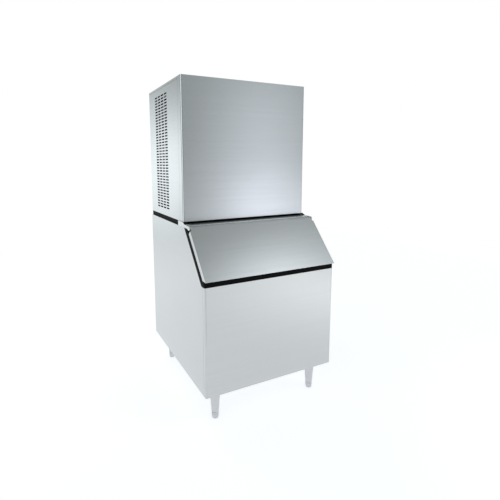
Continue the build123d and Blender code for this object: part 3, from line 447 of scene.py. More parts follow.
@dataclass(frozen=True)
class LitFloor(Finish):
    """Matt pale floor with an even light of its own, as a light table has.

    Attributes:
        glow: The strength of its own light.
        light: The colour of that light.
    """

    glow: float = 0.4
    light: Colour = (0.98, 0.995, 1.02)

    def sockets(self, graph: Graph) -> dict:
        """A faintly uneven tone that glows."""
        cloud = graph.noise(3.0, 2.0)
        return {
            "Base Color": self.shade(graph, cloud, 0.99, 1.01),
            "Roughness": self.roughness,
            "Emission Color": self.light,
            "Emission Strength": self.glow,
        }


class Palette:
    """All finishes of the machine, each made once."""

    def __init__(self) -> None:
        """Build the materials."""
        steel = (0.565, 0.580, 0.588)
        finishes = [
            GroundSteel("front_steel", steel, 0.24),
            GroundSteel("side_steel", steel, 0.24, grain=Grain.ALONG_Y),
            GroundSteel("dull_steel", (0.52, 0.53, 0.54), 0.42, grain=Grain.ALONG_Z),
            Galvanised("galvanised_steel", (0.56, 0.58, 0.60), 0.40),
            Metal("satin_steel", (0.72, 0.73, 0.74), 0.30, tarnish=0.08),
            Metal("bright_pin", (0.70, 0.71, 0.73), 0.16, tarnish=0.08),
            Metal("polished_leg", (0.56, 0.57, 0.59), 0.10, tarnish=0.08),
            Metal("copper_tube", (0.74, 0.40, 0.27), 0.30, tarnish=0.45),
            Metal("forged_brass", (0.66, 0.50, 0.25), 0.30, tarnish=0.30),
            Metal("nickel_grid", (0.70, 0.71, 0.72), 0.18, tarnish=0.10),
            Metal("pressed_aluminium", (0.66, 0.67, 0.68), 0.34, tarnish=0.15),
            Moulding("black_moulding", (0.003, 0.003, 0.0035), 0.60, shine=0.06),
            Moulding("white_liner", (0.78, 0.81, 0.83), 0.26, grain_size=0.004, depth=0.00005),
            Moulding("white_moulding", (0.80, 0.81, 0.82), 0.32),
            Moulding("grey_moulding", (0.34, 0.38, 0.42), 0.38),
            Moulding("natural_nylon", (0.74, 0.73, 0.68), 0.42),
            Moulding("dark_moulding", (0.045, 0.046, 0.050), 0.40),
            Moulding("switch_moulding", (0.020, 0.020, 0.022), 0.24, depth=0.00003),
            Moulding("grey_rubber", (0.16, 0.16, 0.17), 0.62, grain_size=0.0008),
            Moulding("black_rubber", (0.020, 0.020, 0.020), 0.66, grain_size=0.0008),
            Moulding("float_foam", (0.10, 0.10, 0.11), 0.72, grain_size=0.0016, depth=0.0003),
            ClearMoulding("clear_moulding", (0.80, 0.87, 0.92), 0.22),
            ClearMoulding("clear_hose", (0.74, 0.79, 0.80), 0.26, alpha=0.62),
            Enamel("black_enamel", (0.016, 0.016, 0.017), 0.22),
            Enamel("dark_powder_coat", (0.055, 0.056, 0.060), 0.46, peel=0.0018),
            Foam("rigid_foam", (0.78, 0.70, 0.48), 0.85),
        ]
        self.materials = {finish.name: finish.material() for finish in finishes}

    def dress(self, piece: bpy.types.Object, name: str) -> None:
        """Give a piece one finish all over."""
        piece.data.materials.clear()
        piece.data.materials.append(self.materials[name])


NODE_FINISHES: dict[str, tuple[str, ...]] = {
    "front_steel": ("bin_front", "head_front", "door_skin", "hinge_rail", "head_top"),
    "side_steel": ("bin_side_left", "bin_side_right", "head_side_left", "head_side_right"),
    "dull_steel": ("bin_back", "bin_base", "bin_deck", "head_back"),
    "galvanised_steel": ("head_base", "partition", "control_box", "condenser"),
    "satin_steel": ("hinge_brackets", "ice_probe"),
    "bright_pin": ("hinge_pins", "fan_shaft"),
    "polished_leg": (
        "legs",
        "foot_front_left",
        "foot_front_right",
        "foot_back_left",
        "foot_back_right",
    ),
    "copper_tube": ("evaporator_coil", "refrigerant_lines", "drier"),
    "forged_brass": ("expansion_valve", "hot_gas_valve"),
    "nickel_grid": ("evaporator",),
    "pressed_aluminium": ("fan_blade",),
    "black_moulding": ("door_frame", "base_spacer"),
    "white_liner": ("bin_liner", "door_liner"),
    "white_moulding": ("water_trough", "distributor", "float_valve", "bin_probe"),
    "grey_moulding": ("evaporator_frame",),
    "natural_nylon": ("hinge_bushes", "bin_drain", "head_drain"),
    "dark_moulding": ("water_pump", "water_valve"),
    "switch_moulding": ("switch_body", "mode_switch"),
    "grey_rubber": ("door_gasket",),
    "black_rubber": ("compressor_grommets", "cable_gland"),
    "float_foam": ("float_arm",),
    "clear_moulding": ("water_curtain",),
    "clear_hose": ("water_hoses",),
    "black_enamel": ("compressor",),
    "dark_powder_coat": ("fan_shroud", "fan_motor"),
    "rigid_foam": ("bin_foam", "door_foam"),
}


# Pieces


def placed(mesh: bmesh.types.BMesh, name: str) -> bpy.types.Object:
    """Turn a bmesh into an object at the origin, smooth but for its sharp edges.

    Args:
        mesh: The shape, already in its place; it is freed.
        name: The object's name.

    Returns:
        The new object.
    """
    data = bpy.data.meshes.new(name)
    mesh.to_mesh(data)
    mesh.free()
    data.shade_smooth()
    data.set_sharp_from_angle(angle=SHARP_ANGLE)
    made = bpy.data.objects.new(name, data)
    bpy.context.scene.collection.objects.link(made)
    return made


def merged_copy(node: bpy.types.Object) -> bmesh.types.BMesh:
    """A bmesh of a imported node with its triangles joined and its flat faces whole."""
    mesh = bmesh.new()
    mesh.from_mesh(node.data)
    bmesh.ops.remove_doubles(mesh, verts=mesh.verts, dist=WELD_DISTANCE)
    bmesh.ops.dissolve_limit(
        mesh,
        angle_limit=FLAT_ANGLE,
        use_dissolve_boundaries=False,
        verts=mesh.verts,
        edges=mesh.edges,
        delimit=set(),
    )
    return mesh


def facing(towards: Place, place: Place) -> Matrix:
    """The matrix that stands a piece made along +Z at a place, pointing some way."""
    turn = Vector(UP).rotation_difference(Vector(towards)).to_matrix()
    return Matrix.Translation(place) @ turn.to_4x4()


def centre_of(low: Vector, high: Vector) -> Place:
    """The point halfway between two corners."""
    return tuple((near + far) / 2.0 for near, far in zip(low, high))


def ease(
    part: bmesh.types.BMesh,
    width: float,
    edges: list[bmesh.types.BMEdge] | None = None,
    segments: int = 2,
) -> None:
    """Round the edges of a part.

    Args:
        part: The part.
        width: How far from an edge the rounding begins.
        edges: The edges to round; all of them if none are given.
        segments: The number of flats across a rounding.
    """
    bmesh.ops.bevel(
        part,
        geom=part.edges[:] if edges is None else edges,
        offset=width,
        offset_type="OFFSET",
        segments=segments,
        profile=0.5,
        affect="EDGES",
        material=-1,
        clamp_overlap=True,
    )


def sweep(part: bmesh.types.BMesh, axis: Place, angle: float, steps: int) -> None:
    """Spin a whole part round an axis through the origin, closed after a full turn."""
    bmesh.ops.spin(
        part,
        geom=part.verts[:] + part.edges[:],
        cent=ORIGIN,
        axis=axis,
        dvec=ORIGIN,
        angle=angle,
        steps=steps,
        use_merge=angle == math.tau,
        use_normal_flip=False,
        use_duplicate=False,
    )


def arc(start: float, width: float, height: float, steps: int) -> Outline:
    """The outline of a rounded foot: a quarter turn out from a radius and up from nought."""
    turns = [math.pi / 2.0 * step / steps for step in range(1, steps + 1)]
    return [(start + width * math.sin(turn), height - height * math.cos(turn)) for turn in turns]


class Shape:
    """A piece under construction, joined from turned, sawn and bent parts."""

    def __init__(self, mesh: bmesh.types.BMesh | None = None) -> None:
        """Start from a mesh, or from nothing."""
        self.mesh = bmesh.new() if mesh is None else mesh

    def join(self, part: bmesh.types.BMesh, move: Matrix) -> None:
        """Close a part's seams, put it in its place and add it."""
        bmesh.ops.remove_doubles(part, verts=part.verts, dist=SEAM_DISTANCE)
        bmesh.ops.recalc_face_normals(part, faces=part.faces)
        bmesh.ops.transform(part, matrix=move, verts=part.verts)
        data = bpy.data.meshes.new("part")
        part.to_mesh(data)
        part.free()
        self.mesh.from_mesh(data)
        bpy.data.meshes.remove(data)

    def turn(
        self,
        profile: Outline,
        place: Place,
        towards: Place = UP,
        steps: int = 40,
    ) -> None:
        """Turn an outline on a lathe.

        Args:
            profile: Radius and height of each corner, from one end to the other.
            place: Where height nought is.
            towards: The way that the heights grow.
            steps: The number of flats round.
        """
        part = bmesh.new()
        corners = [part.verts.new((radius, 0.0, height)) for radius, height in profile]
        for pair in zip(corners, corners[1:]):
            part.edges.new(pair)
        sweep(part, UP, math.tau, steps)
        self.join(part, facing(towards, place))

    def block(self, low: Place, high: Place, edge: float = 0.0) -> None:
        """Saw a block between two corners and break its edges, if they are to be broken."""
        part = bmesh.new()
        bmesh.ops.create_cube(part, size=1.0)
        bmesh.ops.scale(part, vec=Vector(high) - Vector(low), verts=part.verts)
        if edge:
            ease(part, edge)
        self.join(part, Matrix.Translation((Vector(low) + Vector(high)) / 2.0))

    def nut(self, place: Place, towards: Place, across: float, thick: float) -> None:
        """Add a hexagon nut or head, by its width across flats."""
        part = bmesh.new()
        bmesh.ops.create_circle(part, cap_ends=True, radius=across / math.sqrt(3.0), segments=6)
        raised = bmesh.ops.extrude_face_region(part, geom=part.faces[:])
        top = [item for item in raised["geom"] if isinstance(item, bmesh.types.BMVert)]
        bmesh.ops.translate(part, vec=(0.0, 0.0, thick), verts=top)
        ease(part, thick * 0.12)
        self.join(part, facing(towards, place))

    def screw(self, place: Place, towards: Place, radius: float = 0.004) -> None:
        """Add a pan head with a socket in it."""
        height = 0.55 * radius
        socket = 0.42 * radius
        profile = [
            (0.0, 0.3 * height),
            (socket, 0.3 * height),
            (socket, height),
            (0.8 * radius, 0.8 * height),
            (radius, 0.0),
            (0.0, 0.0),
        ]
        self.turn(profile, place, towards, steps=10)

    def hairpin(self, middle: Place, towards: Place, half_pitch: float, radius: float) -> None:
        """Add the half turn of a tube that comes back beside itself along Z.

        Args:
            middle: The point halfway between the two tubes.
            towards: The way that the bend bulges.
            half_pitch: Half the distance between the tubes.
            radius: The tube's radius.
        """
        part = bmesh.new()
        ring = bmesh.ops.create_circle(part, cap_ends=False, radius=radius, segments=10)
        bmesh.ops.translate(part, vec=(half_pitch, 0.0, 0.0), verts=ring["verts"])
        sweep(part, BACK, -math.pi, steps=10)
        upright = Matrix.Rotation(math.pi / 2.0, 4, "Z")
        self.join(part, facing(towards, middle) @ upright)


class Bench:
    """Where pieces get their finish and their body."""

    def __init__(self, frame: dict, palette: Palette) -> None:
        """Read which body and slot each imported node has.

        Args:
            frame: The loaded frame.
            palette: The finishes.
        """
        record = frame["record"]
        self.nodes = frame["nodes"]
        self.palette = palette
        self.slots = {part["node"]: part["material_slot"] for part in record["subparts"]}
        self.bodies = {
            node: body for body, nodes in record["behaviour"]["bodies"].items() for node in nodes
        }

    def instead_of(self, node: str, shape: Shape, finish: str) -> bpy.types.Object:
        """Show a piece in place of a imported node."""
        piece = placed(shape.mesh, node + "_made")
        self._dress(piece, self.bodies[node], finish)
        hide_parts(node)
        return piece

    def beside(self, node: str, name: str, shape: Shape, finish: str) -> bpy.types.Object:
        """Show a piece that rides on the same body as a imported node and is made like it."""
        piece = placed(shape.mesh, name)
        self._dress(piece, self.bodies[node], finish)
        return piece

    def _dress(self, piece: bpy.types.Object, body: str, finish: str) -> None:
        """Give a piece its finish and body."""
        self.palette.dress(piece, finish)
        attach(piece, body)
        LOG.info("%s rides on %s in %s", piece.name, body, finish)


@dataclass(frozen=True)
class Forming:
    """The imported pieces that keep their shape, with rounded folds and broken edges.

    Attributes:
        edges: How wide the broken edge of each formed node is; nought only smooths it.
        rims: The radius of the fold round the outer face of each panel.
        broad: The area from which a face is flat sheet, and shaded flat.
        front_share: How far an outer face must look to the front, one being straight.
        top_share: How far the lid's outer face must look up, one being straight.
        same_way: The angle within which faces look the same way.
        same_plane: The distance within which they lie in one plane.
        fold_angle: The angle past which an edge is a fold or a rim.
    """

    edges: dict[str, float] = field(
        default_factory=lambda: {
            "bin_front": 0.0,
            "head_front": 0.0,
            "door_skin": 0.0,
            "head_top": 0.0,
            "hinge_rail": 0.0,
            "bin_liner": 0.0,
            "door_liner": 0.0,
            "hinge_brackets": 0.0008,
            "hinge_pins": 0.0005,
            "hinge_bushes": 0.0006,
            "door_frame": 0.0012,
            "door_gasket": 0.0014,
            "base_spacer": 0.0012,
            "control_box": 0.0004,
            "switch_body": 0.0004,
            "mode_switch": 0.0006,
            "evaporator_coil": 0.0016,
            "evaporator_frame": 0.0008,
            "distributor": 0.0004,
            "water_trough": 0.0008,
            "water_pump": 0.0010,
            "water_hoses": 0.0,
            "float_valve": 0.0006,
            "float_arm": 0.0012,
            "ice_probe": 0.0005,
            "bin_probe": 0.0006,
            "expansion_valve": 0.0010,
            "hot_gas_valve": 0.0010,
            "refrigerant_lines": 0.0,
            "fan_shroud": 0.0004,
            "water_valve": 0.0008,
            "head_drain": 0.0005,
            "bin_drain": 0.0005,
            "cable_gland": 0.0005,
        }
    )
    rims: dict[str, float] = field(
        default_factory=lambda: {
            "door_skin": 0.0028,
            "head_front": 0.0022,
            "bin_front": 0.0022,
            "head_top": 0.0022,
        }
    )
    broad: float = 0.003
    front_share: float = 0.5
    top_share: float = 0.9
    same_way: float = 0.05
    same_plane: float = 0.0002
    fold_angle: float = 0.9

    def build(self, bench: Bench) -> None:
        """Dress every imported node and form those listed."""
        for finish, names in NODE_FINISHES.items():
            for name in names:
                bench.palette.dress(bench.nodes[name], finish)
                if name in self.edges:
                    self._form(name, finish, bench)

    def _form(self, name: str, finish: str, bench: Bench) -> None:
        """Show a merged, smooth copy of a node with its edges broken."""
        mesh = merged_copy(bench.nodes[name])
        if name in self.rims:
            self._round_rim(mesh, self.rims[name], name == "head_top")
        piece = bench.instead_of(name, Shape(mesh), finish)
        for polygon in piece.data.polygons:
            polygon.use_smooth = polygon.area < self.broad
        if self.edges[name]:
            modifier = piece.modifiers.new("broken_edges", "BEVEL")
            modifier.width = self.edges[name]
            modifier.segments = 2
            modifier.limit_method = "ANGLE"
            modifier.angle_limit = SHARP_ANGLE
            modifier.loop_slide = False

    def _round_rim(self, mesh: bmesh.types.BMesh, radius: float, lies_flat: bool) -> None:
        """Round the sharp edges of a panel's largest outer face.

        Args:
            mesh: The panel.
            radius: The fold's radius.
            lies_flat: Whether the outer face looks up, not to the front.
        """
        mesh.normal_update()
        outward = [
            face
            for face in mesh.faces
            if (face.normal.z > self.top_share if lies_flat else -face.normal.y > self.front_share)
        ]
        largest = max(outward, key=lambda face: face.calc_area())
        middle = largest.calc_center_median()
        rim = {
            edge
            for face in outward
            if face.normal.angle(largest.normal) < self.same_way
            and abs((face.calc_center_median() - middle) @ largest.normal) < self.same_plane
            for edge in face.edges
            if len(edge.link_faces) == 2 and edge.calc_face_angle(0.0) > self.fold_angle
        }
        ease(mesh, radius, list(rim), segments=4)


@dataclass(frozen=True)
class SpacerCaps:
    """The black caps that carry the spacer's line over the slanted tops of the brackets.

    Attributes:
        wall: A cap's thickness.
        margin: How far it stands in from the bracket's edges.
        lead: How much further the slant runs forward than down.
    """

    wall: float = 0.0008
    margin: float = 0.0006
    lead: float = 0.016

    def build(self, bench: Bench) -> None:
        """Lay a cap on each bracket."""
        _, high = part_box("hinge_brackets")
        _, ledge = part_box("hinge_rail")
        front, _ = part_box("head_front")
        rise = high[2] - ledge[2]
        run = rise + self.lead
        width = high[0] - ledge[0]
        length = math.hypot(rise, run)
        lean = math.atan2(rise, run)
        shape = Shape()
        for side in (-1.0, 1.0):
            part = bmesh.new()
            bmesh.ops.create_cube(part, size=1.0)
            size = (width - 2.0 * self.margin, length - 2.0 * self.margin, self.wall)
            bmesh.ops.scale(part, vec=size, verts=part.verts)
            x = side * (high[0] - width / 2.0)
            middle = (x, front[1] - run / 2.0, ledge[2] + rise / 2.0)
            shape.join(part, Matrix.Translation(middle) @ Matrix.Rotation(lean, 4, "X"))
        bench.beside("base_spacer", "spacer_caps", shape, "black_moulding")


@dataclass(frozen=True)
class Stand:
    """The four tapered legs and their screwed feet.

    Attributes:
        tip_radius: The leg's radius at its foot.
        collar: The height of the straight band at the leg's top.
        wall: The leg's wall, seen from below.
        recess: How deep the leg is hollow from below.
        stem_radius: The radius of a foot's screw.
        stem_top: How high the screw reaches.
        thread_pitch: The pitch of its thread.
        play: The gap round the screw in its bore.
        toe_width: How far in from its radius a foot's rounded toe begins.
        toe_height: How high the toe's rounding goes.
        groove: The depth of the grip groove, and of the break at a foot's top.
        groove_low: Where the groove begins.
        groove_high: Where it ends.
        foot_top: The height of a foot without its screw.
    """

    tip_radius: float = 0.0195
    collar: float = 0.014
    wall: float = 0.004
    recess: float = 0.006
    stem_radius: float = 0.006
    stem_top: float = 0.110
    thread_pitch: float = 0.002
    play: float = 0.0006
    toe_width: float = 0.007
    toe_height: float = 0.012
    groove: float = 0.0012
    groove_low: float = 0.0280
    groove_high: float = 0.0316
    foot_top: float = 0.038

    def build(self, bench: Bench) -> None:
        """Turn the legs and the feet."""
        low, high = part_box("legs")
        leg = self._leg(low[2], high[2], self._top_radius(low, high))
        shape = Shape()
        for name in ("front_left", "front_right", "back_left", "back_right"):
            foot_low, foot_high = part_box("foot_" + name)
            x, y, _ = centre_of(foot_low, foot_high)
            shape.turn(leg, (x, y, 0.0), steps=56)
            self._foot("foot_" + name, (x, y), (foot_high[0] - foot_low[0]) / 2.0, bench)
        bench.instead_of("legs", shape, "polished_leg")

    def _top_radius(self, low: Vector, high: Vector) -> float:
        """Half of what the legs' box is wider than the places of the feet."""
        _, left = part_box("foot_front_left")
        _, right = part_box("foot_front_right")
        return ((high[0] - low[0]) - (right[0] - left[0])) / 2.0

    def _leg(self, tip: float, top: float, radius: float) -> Outline:
        """The outline of a leg, hollow from below, from its bore to its top."""
        bore = self.tip_radius - self.wall
        shoulder = top - self.collar
        return [
            (self.stem_radius + self.play, tip + self.recess),
            (bore, tip + self.recess),
            (bore, tip + 0.0004),
            (self.tip_radius - 0.0028, tip),
            (self.tip_radius - 0.0008, tip + 0.0004),
            (self.tip_radius, tip + 0.0016),
            (self.tip_radius + 0.0003, tip + 0.006),
            (radius - 0.0006, shoulder - 0.004),
            (radius - 0.0001, shoulder),
            (radius, shoulder + 0.002),
            (radius, top - 0.0012),
            (radius - 0.001, top),
            (0.0, top),
        ]

    def _foot(self, name: str, place: tuple[float, float], radius: float, bench: Bench) -> None:
        """Turn a foot with a rounded toe, a grip groove and a threaded stem."""
        toe = radius - self.toe_width
        inner = radius - self.groove
        profile = [
            (0.0, 0.0),
            (toe, 0.0),
            *arc(toe, self.toe_width, self.toe_height, 6),
            (radius, self.groove_low),
            (inner, self.groove_low + 0.0008),
            (inner, self.groove_high - 0.0008),
            (radius, self.groove_high),
            (radius, self.foot_top - self.groove),
            (inner, self.foot_top),
            (self.stem_radius - self.play, self.foot_top),
        ]
        start = self.foot_top + 0.0005
        turns = int((self.stem_top - self.foot_top - 0.002) / self.thread_pitch)
        for count in range(turns):
            height = start + count * self.thread_pitch
            profile.append((self.stem_radius - 0.0008, height))
            profile.append((self.stem_radius - 0.0001, height + self.thread_pitch / 2.0))
        profile += [(self.stem_radius - 0.001, self.stem_top), (0.0, self.stem_top)]
        shape = Shape()
        shape.turn(profile, (*place, 0.0), steps=36)
        bench.instead_of(name, shape, "polished_leg")


@dataclass(frozen=True)
class CondenserCore:
    """The finned coil behind the left vents, on its stand.

    Attributes:
        plate: The depth of a folded end plate along Y.
        fins: The number of fins.
        fin_wall: A fin's thickness.
        fin_inset: How far the fins stand in from the coil's box.
        rows: The number of tubes one above the other.
        columns: Where the tubes stand across the coil, as shares of its depth.
        tube_radius: A tube's radius.
        tube_ends: How far a tube stands out of its end plate.
        post: The width of a post of the stand.
        post_inset: How far a post stands in from the coil's end.
        tray: The thickness of the sheet under the coil.
        fold: The radius of its folds.
    """

    plate: float = 0.012
    fins: int = 76
    fin_wall: float = 0.0005
    fin_inset: float = 0.002
    rows: int = 16
    columns: tuple[float, float] = (0.3, 0.7)
    tube_radius: float = 0.0048
    tube_ends: float = 0.002
    post: float = 0.015
    post_inset: float = 0.006
    tray: float = 0.002
    fold: float = 0.0006

    def build(self, bench: Bench) -> None:
        """Stack the fins between the end plates and thread the tubes."""
        low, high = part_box("condenser")
        shroud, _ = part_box("fan_shroud")
        foot = shroud[2]
        self._stack(low, high, foot, bench)
        self._frame(low, high, foot, bench)
        self._tubes(low, high, foot, bench)
        LOG.info("condenser of %d fins from %.3f to %.3f", self.fins, foot, high[2])

    def _stack(self, low: Vector, high: Vector, foot: float, bench: Bench) -> None:
        """Stand the fins side by side."""
        start = low[1] + self.plate
        pitch = (high[1] - self.plate - start) / self.fins
        inset = self.fin_inset
        shape = Shape()
        for count in range(self.fins):
            y = start + (count + 0.5) * pitch
            near, far = y - self.fin_wall / 2.0, y + self.fin_wall / 2.0
            corner = (low[0] + inset, near, foot + inset)
            shape.block(corner, (high[0] - inset, far, high[2] - inset))
        bench.beside("condenser", "condenser_fins", shape, "pressed_aluminium")

    def _frame(self, low: Vector, high: Vector, foot: float, bench: Bench) -> None:
        """Fold the end plates and the stand."""
        inset = self.post_inset
        shape = Shape()
        for near in (low[1], high[1] - self.plate):
            shape.block((low[0], near, foot), (high[0], near + self.plate, high[2]), self.fold)
        for near in (low[1] + inset, high[1] - inset - self.post):
            shape.block((low[0], near, low[2]), (high[0], near + self.post, foot), self.fold)
        corner = (low[0], low[1] + inset, foot - self.tray)
        shape.block(corner, (high[0], high[1] - inset, foot), self.tray / 5.0)
        bench.instead_of("condenser", shape, "galvanised_steel")

    def _tubes(self, low: Vector, high: Vector, foot: float, bench: Bench) -> None:
        """Run straight tubes through the fins and join them by bends behind."""
        pitch = (high[2] - foot) / self.rows
        length = high[1] - low[1] + self.tube_ends
        profile = [(self.tube_radius, 0.0), (self.tube_radius, length)]
        shape = Shape()
        for column in self.columns:
            x = low[0] + column * (high[0] - low[0])
            for row in range(self.rows):
                shape.turn(profile, (x, low[1], foot + (row + 0.5) * pitch), BACK, steps=10)
            for row in range(0, self.rows, 2):
                middle = (x, high[1] + self.tube_ends / 2.0, foot + (row + 1.0) * pitch)
                shape.hairpin(middle, BACK, pitch / 2.0, self.tube_radius)
        bench.beside("refrigerant_lines", "condenser_tubes", shape, "copper_tube")


@dataclass(frozen=True)
class FanSet:
    """The fan with its bent blades, its hub and its motor.

    Attributes:
        blades: The number of blades.
        hub_radius: The hub's radius.
        root_half: Half a blade's chord at the hub.
        tip_half: Half a blade's chord at its tip.
        lean_root: A blade's angle to the fan's plane at the hub, in degrees.
        lean_tip: The same at its tip.
        camber: How far a blade's middle bulges.
        blade_wall: A blade's thickness.
        sweep_back: How far a blade's rear corner is cut back.
        hub_half: Half the hub's length.
        bore: The radius of its bore.
        end_screws: The number of screws in the motor's end.
    """

    blades: int = 5
    hub_radius: float = 0.026
    root_half: float = 0.012
    tip_half: float = 0.030
    lean_root: float = 34.0
    lean_tip: float = 24.0
    camber: float = 0.005
    blade_wall: float = 0.0014
    sweep_back: float = 0.006
    hub_half: float = 0.013
    bore: float = 0.0045
    end_screws: int = 4

    def build(self, bench: Bench) -> None:
        """Press the blades and turn the hub and the motor."""
        _, shaft_y, shaft_z = centre_of(*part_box("fan_shaft"))
        low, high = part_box("fan_blade")
        reach = high[2] - shaft_z - 0.0005
        middle = ((low[0] + high[0]) / 2.0, shaft_y, shaft_z)
        shape = Shape()
        for count in range(self.blades):
            spin = Matrix.Rotation(math.tau * count / self.blades, 4, "X")
            shape.join(self._blade(reach), Matrix.Translation(middle) @ spin)
        half = self.hub_half
        hub = [
            (self.bore, -half),
            (self.hub_radius - 0.002, -half),
            (self.hub_radius, -half + 0.002),
            (self.hub_radius, half - 0.003),
            (self.hub_radius - 0.003, half),
            (0.014, half),
            (0.012, half - 0.003),
            (self.bore, half - 0.003),
        ]
        shape.turn(hub, middle, RIGHT, steps=40)
        bench.instead_of("fan_blade", shape, "pressed_aluminium")
        self._motor(bench)

    def _blade(self, reach: float) -> bmesh.types.BMesh:
        """Bend one blade that stands up along +Z, round the fan's axis X."""
        part = bmesh.new()
        bmesh.ops.create_grid(part, x_segments=8, y_segments=8, size=0.5)
        root = self.hub_radius - 0.003
        for corner in part.verts:
            out, across = corner.co.x + 0.5, corner.co.y * 2.0
            half = self.root_half + (self.tip_half - self.root_half) * out**0.7
            lean = math.radians(self.lean_root + (self.lean_tip - self.lean_root) * out)
            chord = across * half
            bulge = self.camber * (1.0 - across * across) * (0.3 + 0.7 * out)
            along = chord * math.cos(lean) - bulge * math.sin(lean)
            radius = root + (reach - root) * out - self.sweep_back * max(0.0, across) * out
            height = math.sqrt(max(radius * radius - along * along, root * root * 0.5))
            corner.co = (chord * math.sin(lean) + bulge * math.cos(lean), along, height)
        bmesh.ops.solidify(part, geom=part.faces[:], thickness=self.blade_wall)
        return part

    def _motor(self, bench: Bench) -> None:
        """Turn the motor's two shells with the flange between them."""
        low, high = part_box("fan_motor")
        radius = (high[1] - low[1]) / 2.0
        length = high[0] - low[0]
        _, middle_y, middle_z = centre_of(low, high)
        profile = [
            (0.0046, 0.0),
            (0.009, 0.0),
            (0.010, 0.003),
            (radius * 0.72, 0.004),
            (radius * 0.90, 0.007),
            (radius * 0.96, 0.012),
            (radius * 0.96, length * 0.44),
            (radius, length * 0.46),
            (radius, length * 0.54),
            (radius * 0.96, length * 0.56),
            (radius * 0.96, length - 0.012),
            (radius * 0.90, length - 0.006),
            (radius * 0.70, length - 0.002),
            (0.0, length),
        ]
        shape = Shape()
        shape.turn(profile, (low[0], middle_y, middle_z), RIGHT, steps=48)
        for count in range(self.end_screws):
            turn = math.tau * (count + 0.5) / self.end_screws
            y = middle_y + 0.8 * radius * math.cos(turn)
            z = middle_z + 0.8 * radius * math.sin(turn)
            shape.screw((high[0] - 0.005, y, z), RIGHT, 0.0035)
        bench.instead_of("fan_motor", shape, "dark_powder_coat")


@dataclass(frozen=True)
class CompressorSet:
    """The hermetic compressor, its grommets and the filter drier.

    Attributes:
        can_radius: The can's radius at its seam.
        plate: The thickness of its base plate.
        foot_round: The radius of the can's rounded foot.
        dome: The height of its domed top.
        seam: How far the welded seam stands out.
        cover: The width and height of the terminals' cover.
        cover_low: How high over the grommets the cover begins.
        cover_out: How far it stands out of the can.
        bolt_half: How far a bolt stands from the middle, each way.
        grommet_radius: A grommet's radius.
        grommet_waist: How far its waist is drawn in.
        washer: A washer's thickness.
    """

    can_radius: float = 0.084
    plate: float = 0.003
    foot_round: float = 0.014
    dome: float = 0.050
    seam: float = 0.0022
    cover: tuple[float, float] = (0.060, 0.065)
    cover_low: float = 0.100
    cover_out: float = 0.010
    bolt_half: float = 0.078
    grommet_radius: float = 0.012
    grommet_waist: float = 0.003
    washer: float = 0.0012

    def build(self, bench: Bench) -> None:
        """Draw the can, press the plate and screw it down."""
        low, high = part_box("compressor")
        x, y, _ = centre_of(low, high)
        top = low[2] + self.plate
        shape = Shape()
        shape.block(tuple(low), (high[0], high[1], top), 0.0011)
        shape.turn(self._can(high[2] - top), (x, y, top), steps=64)
        half, tall = self.cover[0] / 2.0, self.cover[1]
        front, bottom = y - self.can_radius - self.cover_out, low[2] + self.cover_low
        shape.block((x - half, front, bottom), (x + half, y, bottom + tall), 0.004)
        shape.screw((x, front, bottom + tall / 2.0), FRONT)
        bench.instead_of("compressor", shape, "black_enamel")
        self._grommets((x, y), top, bench)
        self._drier(bench)

    def _can(self, height: float) -> Outline:
        """The can's outline: a rounded foot, a welded seam and a domed top."""
        radius = self.can_radius - self.seam
        start = radius - self.foot_round
        weld = height * 0.62
        outline = [
            (0.0, 0.0),
            (start, 0.0),
            *arc(start, self.foot_round, self.foot_round, 4),
            (radius, weld - 0.004),
            (radius + self.seam, weld - 0.003),
            (radius + self.seam, weld + 0.003),
            (radius, weld + 0.004),
        ]
        steps = 8
        for step in range(steps):
            turn = math.pi / 2.0 * step / steps
            rise = height - self.dome + self.dome * math.sin(turn)
            outline.append((radius * math.cos(turn) ** 0.8, rise))
        return [*outline, (0.0, height)]

    def _grommets(self, place: tuple[float, float], top: float, bench: Bench) -> None:
        """Mould the waisted grommets and put a washer, a bolt end and a nut over each."""
        low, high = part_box("compressor_grommets")
        height = high[2] - low[2]
        wide, waist = self.grommet_radius, self.grommet_radius - self.grommet_waist
        profile = [
            (0.0, 0.0),
            (wide, 0.0),
            (wide, 0.004),
            (waist, 0.0055),
            (waist, height - 0.0055),
            (wide, height - 0.004),
            (wide, height),
            (0.0, height),
        ]
        washer = [(0.0, 0.0), (0.009, 0.0), (0.009, self.washer), (0.0, self.washer)]
        bolt = [(0.003, 0.0), (0.003, 0.011), (0.0, 0.0115)]
        rubber, nuts = Shape(), Shape()
        for side_x in (-1, 1):
            for side_y in (-1, 1):
                x = place[0] + side_x * self.bolt_half
                y = place[1] + side_y * self.bolt_half
                rubber.turn(profile, (x, y, low[2]), steps=24)
                nuts.turn(washer, (x, y, top))
                nuts.nut((x, y, top + self.washer), UP, 0.010, 0.005)
                nuts.turn(bolt, (x, y, top), steps=12)
        bench.instead_of("compressor_grommets", rubber, "black_rubber")
        bench.beside("hinge_pins", "compressor_nuts", nuts, "bright_pin")

    def _drier(self, bench: Bench) -> None:
        """Spin the drier's copper shell down to its two ends."""
        low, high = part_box("drier")
        _, middle_y, middle_z = centre_of(low, high)
        radius = (high[2] - low[2]) / 2.0
        length = high[0] - low[0]
        neck, stub, cone = 0.0052, 0.006, 0.014
        profile = [(0.0, 0.0), (neck, 0.0), (neck, stub)]
        for step in range(1, 6):
            share = step / 5.0
            lift = 0.5 - 0.5 * math.cos(math.pi * share)
            profile.append((neck + (radius - neck) * lift, stub + cone * share))
        profile += [(radius, 0.036), (radius - 0.0008, 0.0375), (radius, 0.039)]
        profile += [(wide, length - along) for wide, along in reversed(profile)]
        shape = Shape()
        shape.turn(profile, (low[0], middle_y, middle_z), RIGHT, steps=32)
        bench.instead_of("drier", shape, "copper_tube")


